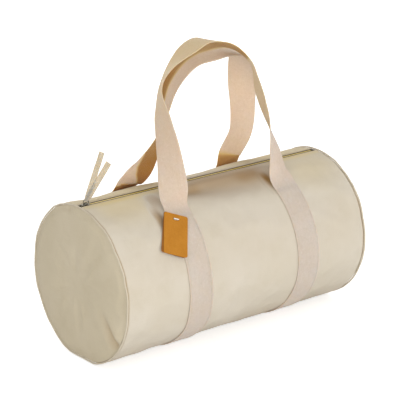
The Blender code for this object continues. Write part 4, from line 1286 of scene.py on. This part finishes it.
def build_ribbon():
    """The folded ribbon on the pull ring: two tails that part, with slanted cut ends."""
    wrap = RING_WIRE_RADIUS + FIT_GAP + RIBBON_THICKNESS / 2
    lean = Matrix.Rotation(math.radians(PULL_LEAN_DEGREES), 4, 'Y')
    place = Matrix.Translation((SLIDER_X, 0.0, PULL_PIVOT_Z)) @ lean
    centres, acrosses = [], []
    for layer, length in ((-1, RIBBON_LONG_TAIL), (1, RIBBON_SHORT_TAIL)):
        tail = []
        for step in range(RIBBON_STEPS + 1):
            height = length * step / RIBBON_STEPS
            settled = float(share_between(0.0, RIBBON_SETTLE, height))
            away = wrap + (RIBBON_LAYER_GAP / 2 - wrap) * settled
            free = float(share_between(0.4, 1.0, height / length))
            curl = 0.0011 * free * math.sin(5.0 * height / length + layer)
            twist = math.radians(RIBBON_TWIST_DEGREES) * settled + 0.10 * layer * free
            splay = math.radians(RIBBON_SPLAY_DEGREES) * layer
            across = Vector((-math.sin(twist), math.cos(twist), 0))
            normal = Vector((math.cos(twist), math.sin(twist), 0))
            shift = height * math.sin(splay)
            centre = (normal * (away * layer + layer * abs(curl)) - across * shift
                      + Vector((0, 0, RING_BAR + height * math.cos(splay))))
            tail.append((centre, across * math.cos(splay) + Vector((0, 0, 1)) * math.sin(splay)))
        if layer < 0:
            tail.reverse()
            for turn in (30.0, 60.0, 90.0, 120.0, 150.0):
                angle = math.radians(turn)
                tail.append((Vector((-wrap * math.cos(angle), 0,
                                     RING_BAR - wrap * math.sin(angle))), Vector((0, 1, 0))))
        centres += [row[0] for row in tail]
        acrosses += [row[1] for row in tail]
    centres = np.array([tuple(place @ c) for c in centres])
    turn = place.to_3x3()
    acrosses = unit(np.array([tuple(turn @ a) for a in acrosses]))
    along = unit(np.gradient(centres, axis=0))
    outs = unit(np.cross(along, acrosses))
    profile = strap_profile(RIBBON_WIDTH, RIBBON_THICKNESS, 8)
    rings = (centres[:, None] + acrosses[:, None] * profile[None, :, :1]
             + outs[:, None] * profile[None, :, 1:])
    for row, slant in ((0, -RIBBON_CUT_SLANT), (-1, RIBBON_CUT_SLANT)):
        rings[row] += along[row] * (profile[:, :1] * slant)
    cloth = cloth_map(arc_lengths(centres)[:, None], profile[None, :, 0])
    ribbon = tube("pull_ribbon", rings, cloth, RIBBON)
    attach(ribbon, "zip_pull")
    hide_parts("ribbon_pull")


def dress(node, finish):
    """Gives a CAD node its material."""
    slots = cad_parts[node].data.materials
    slots.clear()
    slots.append(finish)


def lamp(name, size, power, where, target, colour=(1.0, 1.0, 1.0)):
    """A square lamp at a place, turned to a target."""
    data = bpy.data.lights.new(name, 'AREA')
    data.color = colour
    data.shape = 'SQUARE'
    data.size = size
    data.energy = power
    thing = bpy.data.objects.new(name, data)
    bpy.context.scene.collection.objects.link(thing)
    thing.location = where
    aim = Vector(target) - Vector(where)
    thing.rotation_euler = aim.to_track_quat('-Z', 'Y').to_euler()


# The stage and the camera, which looks at a point given by its depth and its height over
# the barrel's axis
FLOOR_GLOW = 0.55
FLOOR_HALF = 6.0
FLOOR_DROP = 0.0002
WORLD_LEVEL = 0.62
CAMERA_DISTANCE = 2.6
CAMERA_TURN_DEGREES = -38.33
CAMERA_RISE_DEGREES = 18.75
CAMERA_TARGET_Y = 0.0077
CAMERA_TARGET_RISE = 0.0829
CAMERA_LENS = 146.34
CAMERA_SENSOR = 36.0
CAMERA_REACH = 50.0


def floor_finish():
    """A white floor that shows as white and keeps the soft shadow of the bag."""
    f = Finish("floor_paper", roughness=0.9, specular=0.1)
    tone = f.mix(f.spread(f.noise(f.place(), 3.0, 3.0), 0.3, 0.7), rgb(240, 240, 240),
                 rgb(238, 238, 237))
    f.finish(tone, f.bump(f.noise(f.place(), 900.0, 2.0), 0.00005, 0.3))
    seen = f.node("ShaderNodeLightPath")
    lit = f.math('MAXIMUM', seen.outputs["Is Camera Ray"], seen.outputs["Is Glossy Ray"])
    lit = f.math('MAXIMUM', lit, seen.outputs["Is Transmission Ray"])
    glow = f.node("ShaderNodeEmission")
    f.join(f.math('MULTIPLY', lit, FLOOR_GLOW), glow.inputs["Strength"])
    added = f.node("ShaderNodeAddShader")
    f.join(f.shader.outputs[0], added.inputs[0])
    f.join(glow.outputs[0], added.inputs[1])
    output = f.tree.nodes["Material Output"]
    f.join(added.outputs[0], output.inputs["Surface"])
    return f.material


def build_stage():
    """The floor, the white world and the lamps."""
    corners = [(x * FLOOR_HALF, y * FLOOR_HALF, 0) for x, y in ((-1, -1), (1, -1), (1, 1), (-1, 1))]
    floor = mesh_object("floor", corners, [(0, 1, 2, 3)], None, floor_finish(), smooth=False)
    floor.location.z = -FLOOR_DROP
    world = bpy.data.worlds.new("studio")
    bpy.context.scene.world = world
    world.use_nodes = True
    tree = world.node_tree
    sky = tree.nodes["Background"]
    white = tree.nodes.new("ShaderNodeBackground")
    for back, strength, colour in ((sky, WORLD_LEVEL, (1.0, 0.99, 0.975, 1.0)),
                                   (white, 1.0, (1.0, 1.0, 1.0, 1.0))):
        back.inputs["Strength"].default_value = strength
        back.inputs["Color"].default_value = colour
    seen = tree.nodes.new("ShaderNodeLightPath")
    pick = tree.nodes.new("ShaderNodeMixShader")
    most = tree.nodes.new("ShaderNodeMath")
    most.operation = 'MAXIMUM'
    for given, taken in (
            (seen.outputs["Is Camera Ray"], most.inputs[0]),
            (seen.outputs["Is Glossy Ray"], most.inputs[1]),
            (most.outputs[0], pick.inputs[0]), (sky.outputs[0], pick.inputs[1]),
            (white.outputs[0], pick.inputs[2]),
            (pick.outputs[0], tree.nodes["World Output"].inputs["Surface"])):
        tree.links.new(given, taken)
    middle = (0.0, 0.0, 0.15)
    lamp("main", 0.8, 18.0, (-1.6, -2.1, 1.1), (0.0, 0.0, 0.25))
    lamp("key", 1.8, 15.0, (0.9, -2.8, 0.85), middle)
    lamp("side", 1.4, 1.5, (-2.5, -0.7, 0.7), middle)
    lamp("rear", 1.8, 36.0, (0.6, 2.8, 1.0), middle, (1.0, 0.95, 0.88))
    lamp("bounce", 1.8, 13.0, (-0.3, -1.7, 0.03), (0.0, 0.0, 0.30), (0.89, 0.94, 1.0))


def build_camera():
    """The camera, placed as the photograph's."""
    turn, rise = math.radians(CAMERA_TURN_DEGREES), math.radians(CAMERA_RISE_DEGREES)
    target = Vector((0.0, CAMERA_TARGET_Y, AXIS_Z + CAMERA_TARGET_RISE))
    back = Vector((math.sin(turn) * math.cos(rise), -math.cos(turn) * math.cos(rise),
                   math.sin(rise)))
    data = bpy.data.cameras.new("camera")
    data.sensor_width = CAMERA_SENSOR
    data.lens = CAMERA_LENS
    data.clip_end = CAMERA_REACH
    thing = bpy.data.objects.new("camera", data)
    bpy.context.scene.collection.objects.link(thing)
    thing.location = target + back * CAMERA_DISTANCE
    thing.rotation_euler = (-back).to_track_quat('-Z', 'Y').to_euler()
    bpy.context.scene.camera = thing


build_body()
for end_side, end_word in ((-1, "left"), (1, "right")):
    build_end(end_side, end_word)
    build_seam(end_side, end_word)
build_band(BAND_LEFT_X, "left")
build_band(BAND_RIGHT_X, "right")
build_zip()
build_handle("front", FRONT_HANDLE_SHARES, (FRONT_OUTER_PAINTED_SHADE, FRONT_INNER_PAINTED_SHADE),
             FRONT_FOOT_DEGREES, -1)
build_handle("back", BACK_HANDLE_SHARES, (BACK_OUTER_PAINTED_SHADE, BACK_INNER_PAINTED_SHADE),
             BACK_FOOT_DEGREES, 1)
build_ribbon()
for node in ("zip_teeth_front", "zip_teeth_back"):
    dress(node, TEETH)
for node in ("top_stop_front", "top_stop_back", "bottom_stop", "slider_body", "pull_ring"):
    dress(node, METAL)
dress("hang_tag", CARD)
dress("tag_back_leaf", CARD_SHADED)
dress("tag_fastener", FASTENER)
build_stage()
build_camera()
bpy.context.scene.view_settings.view_transform = 'Standard'
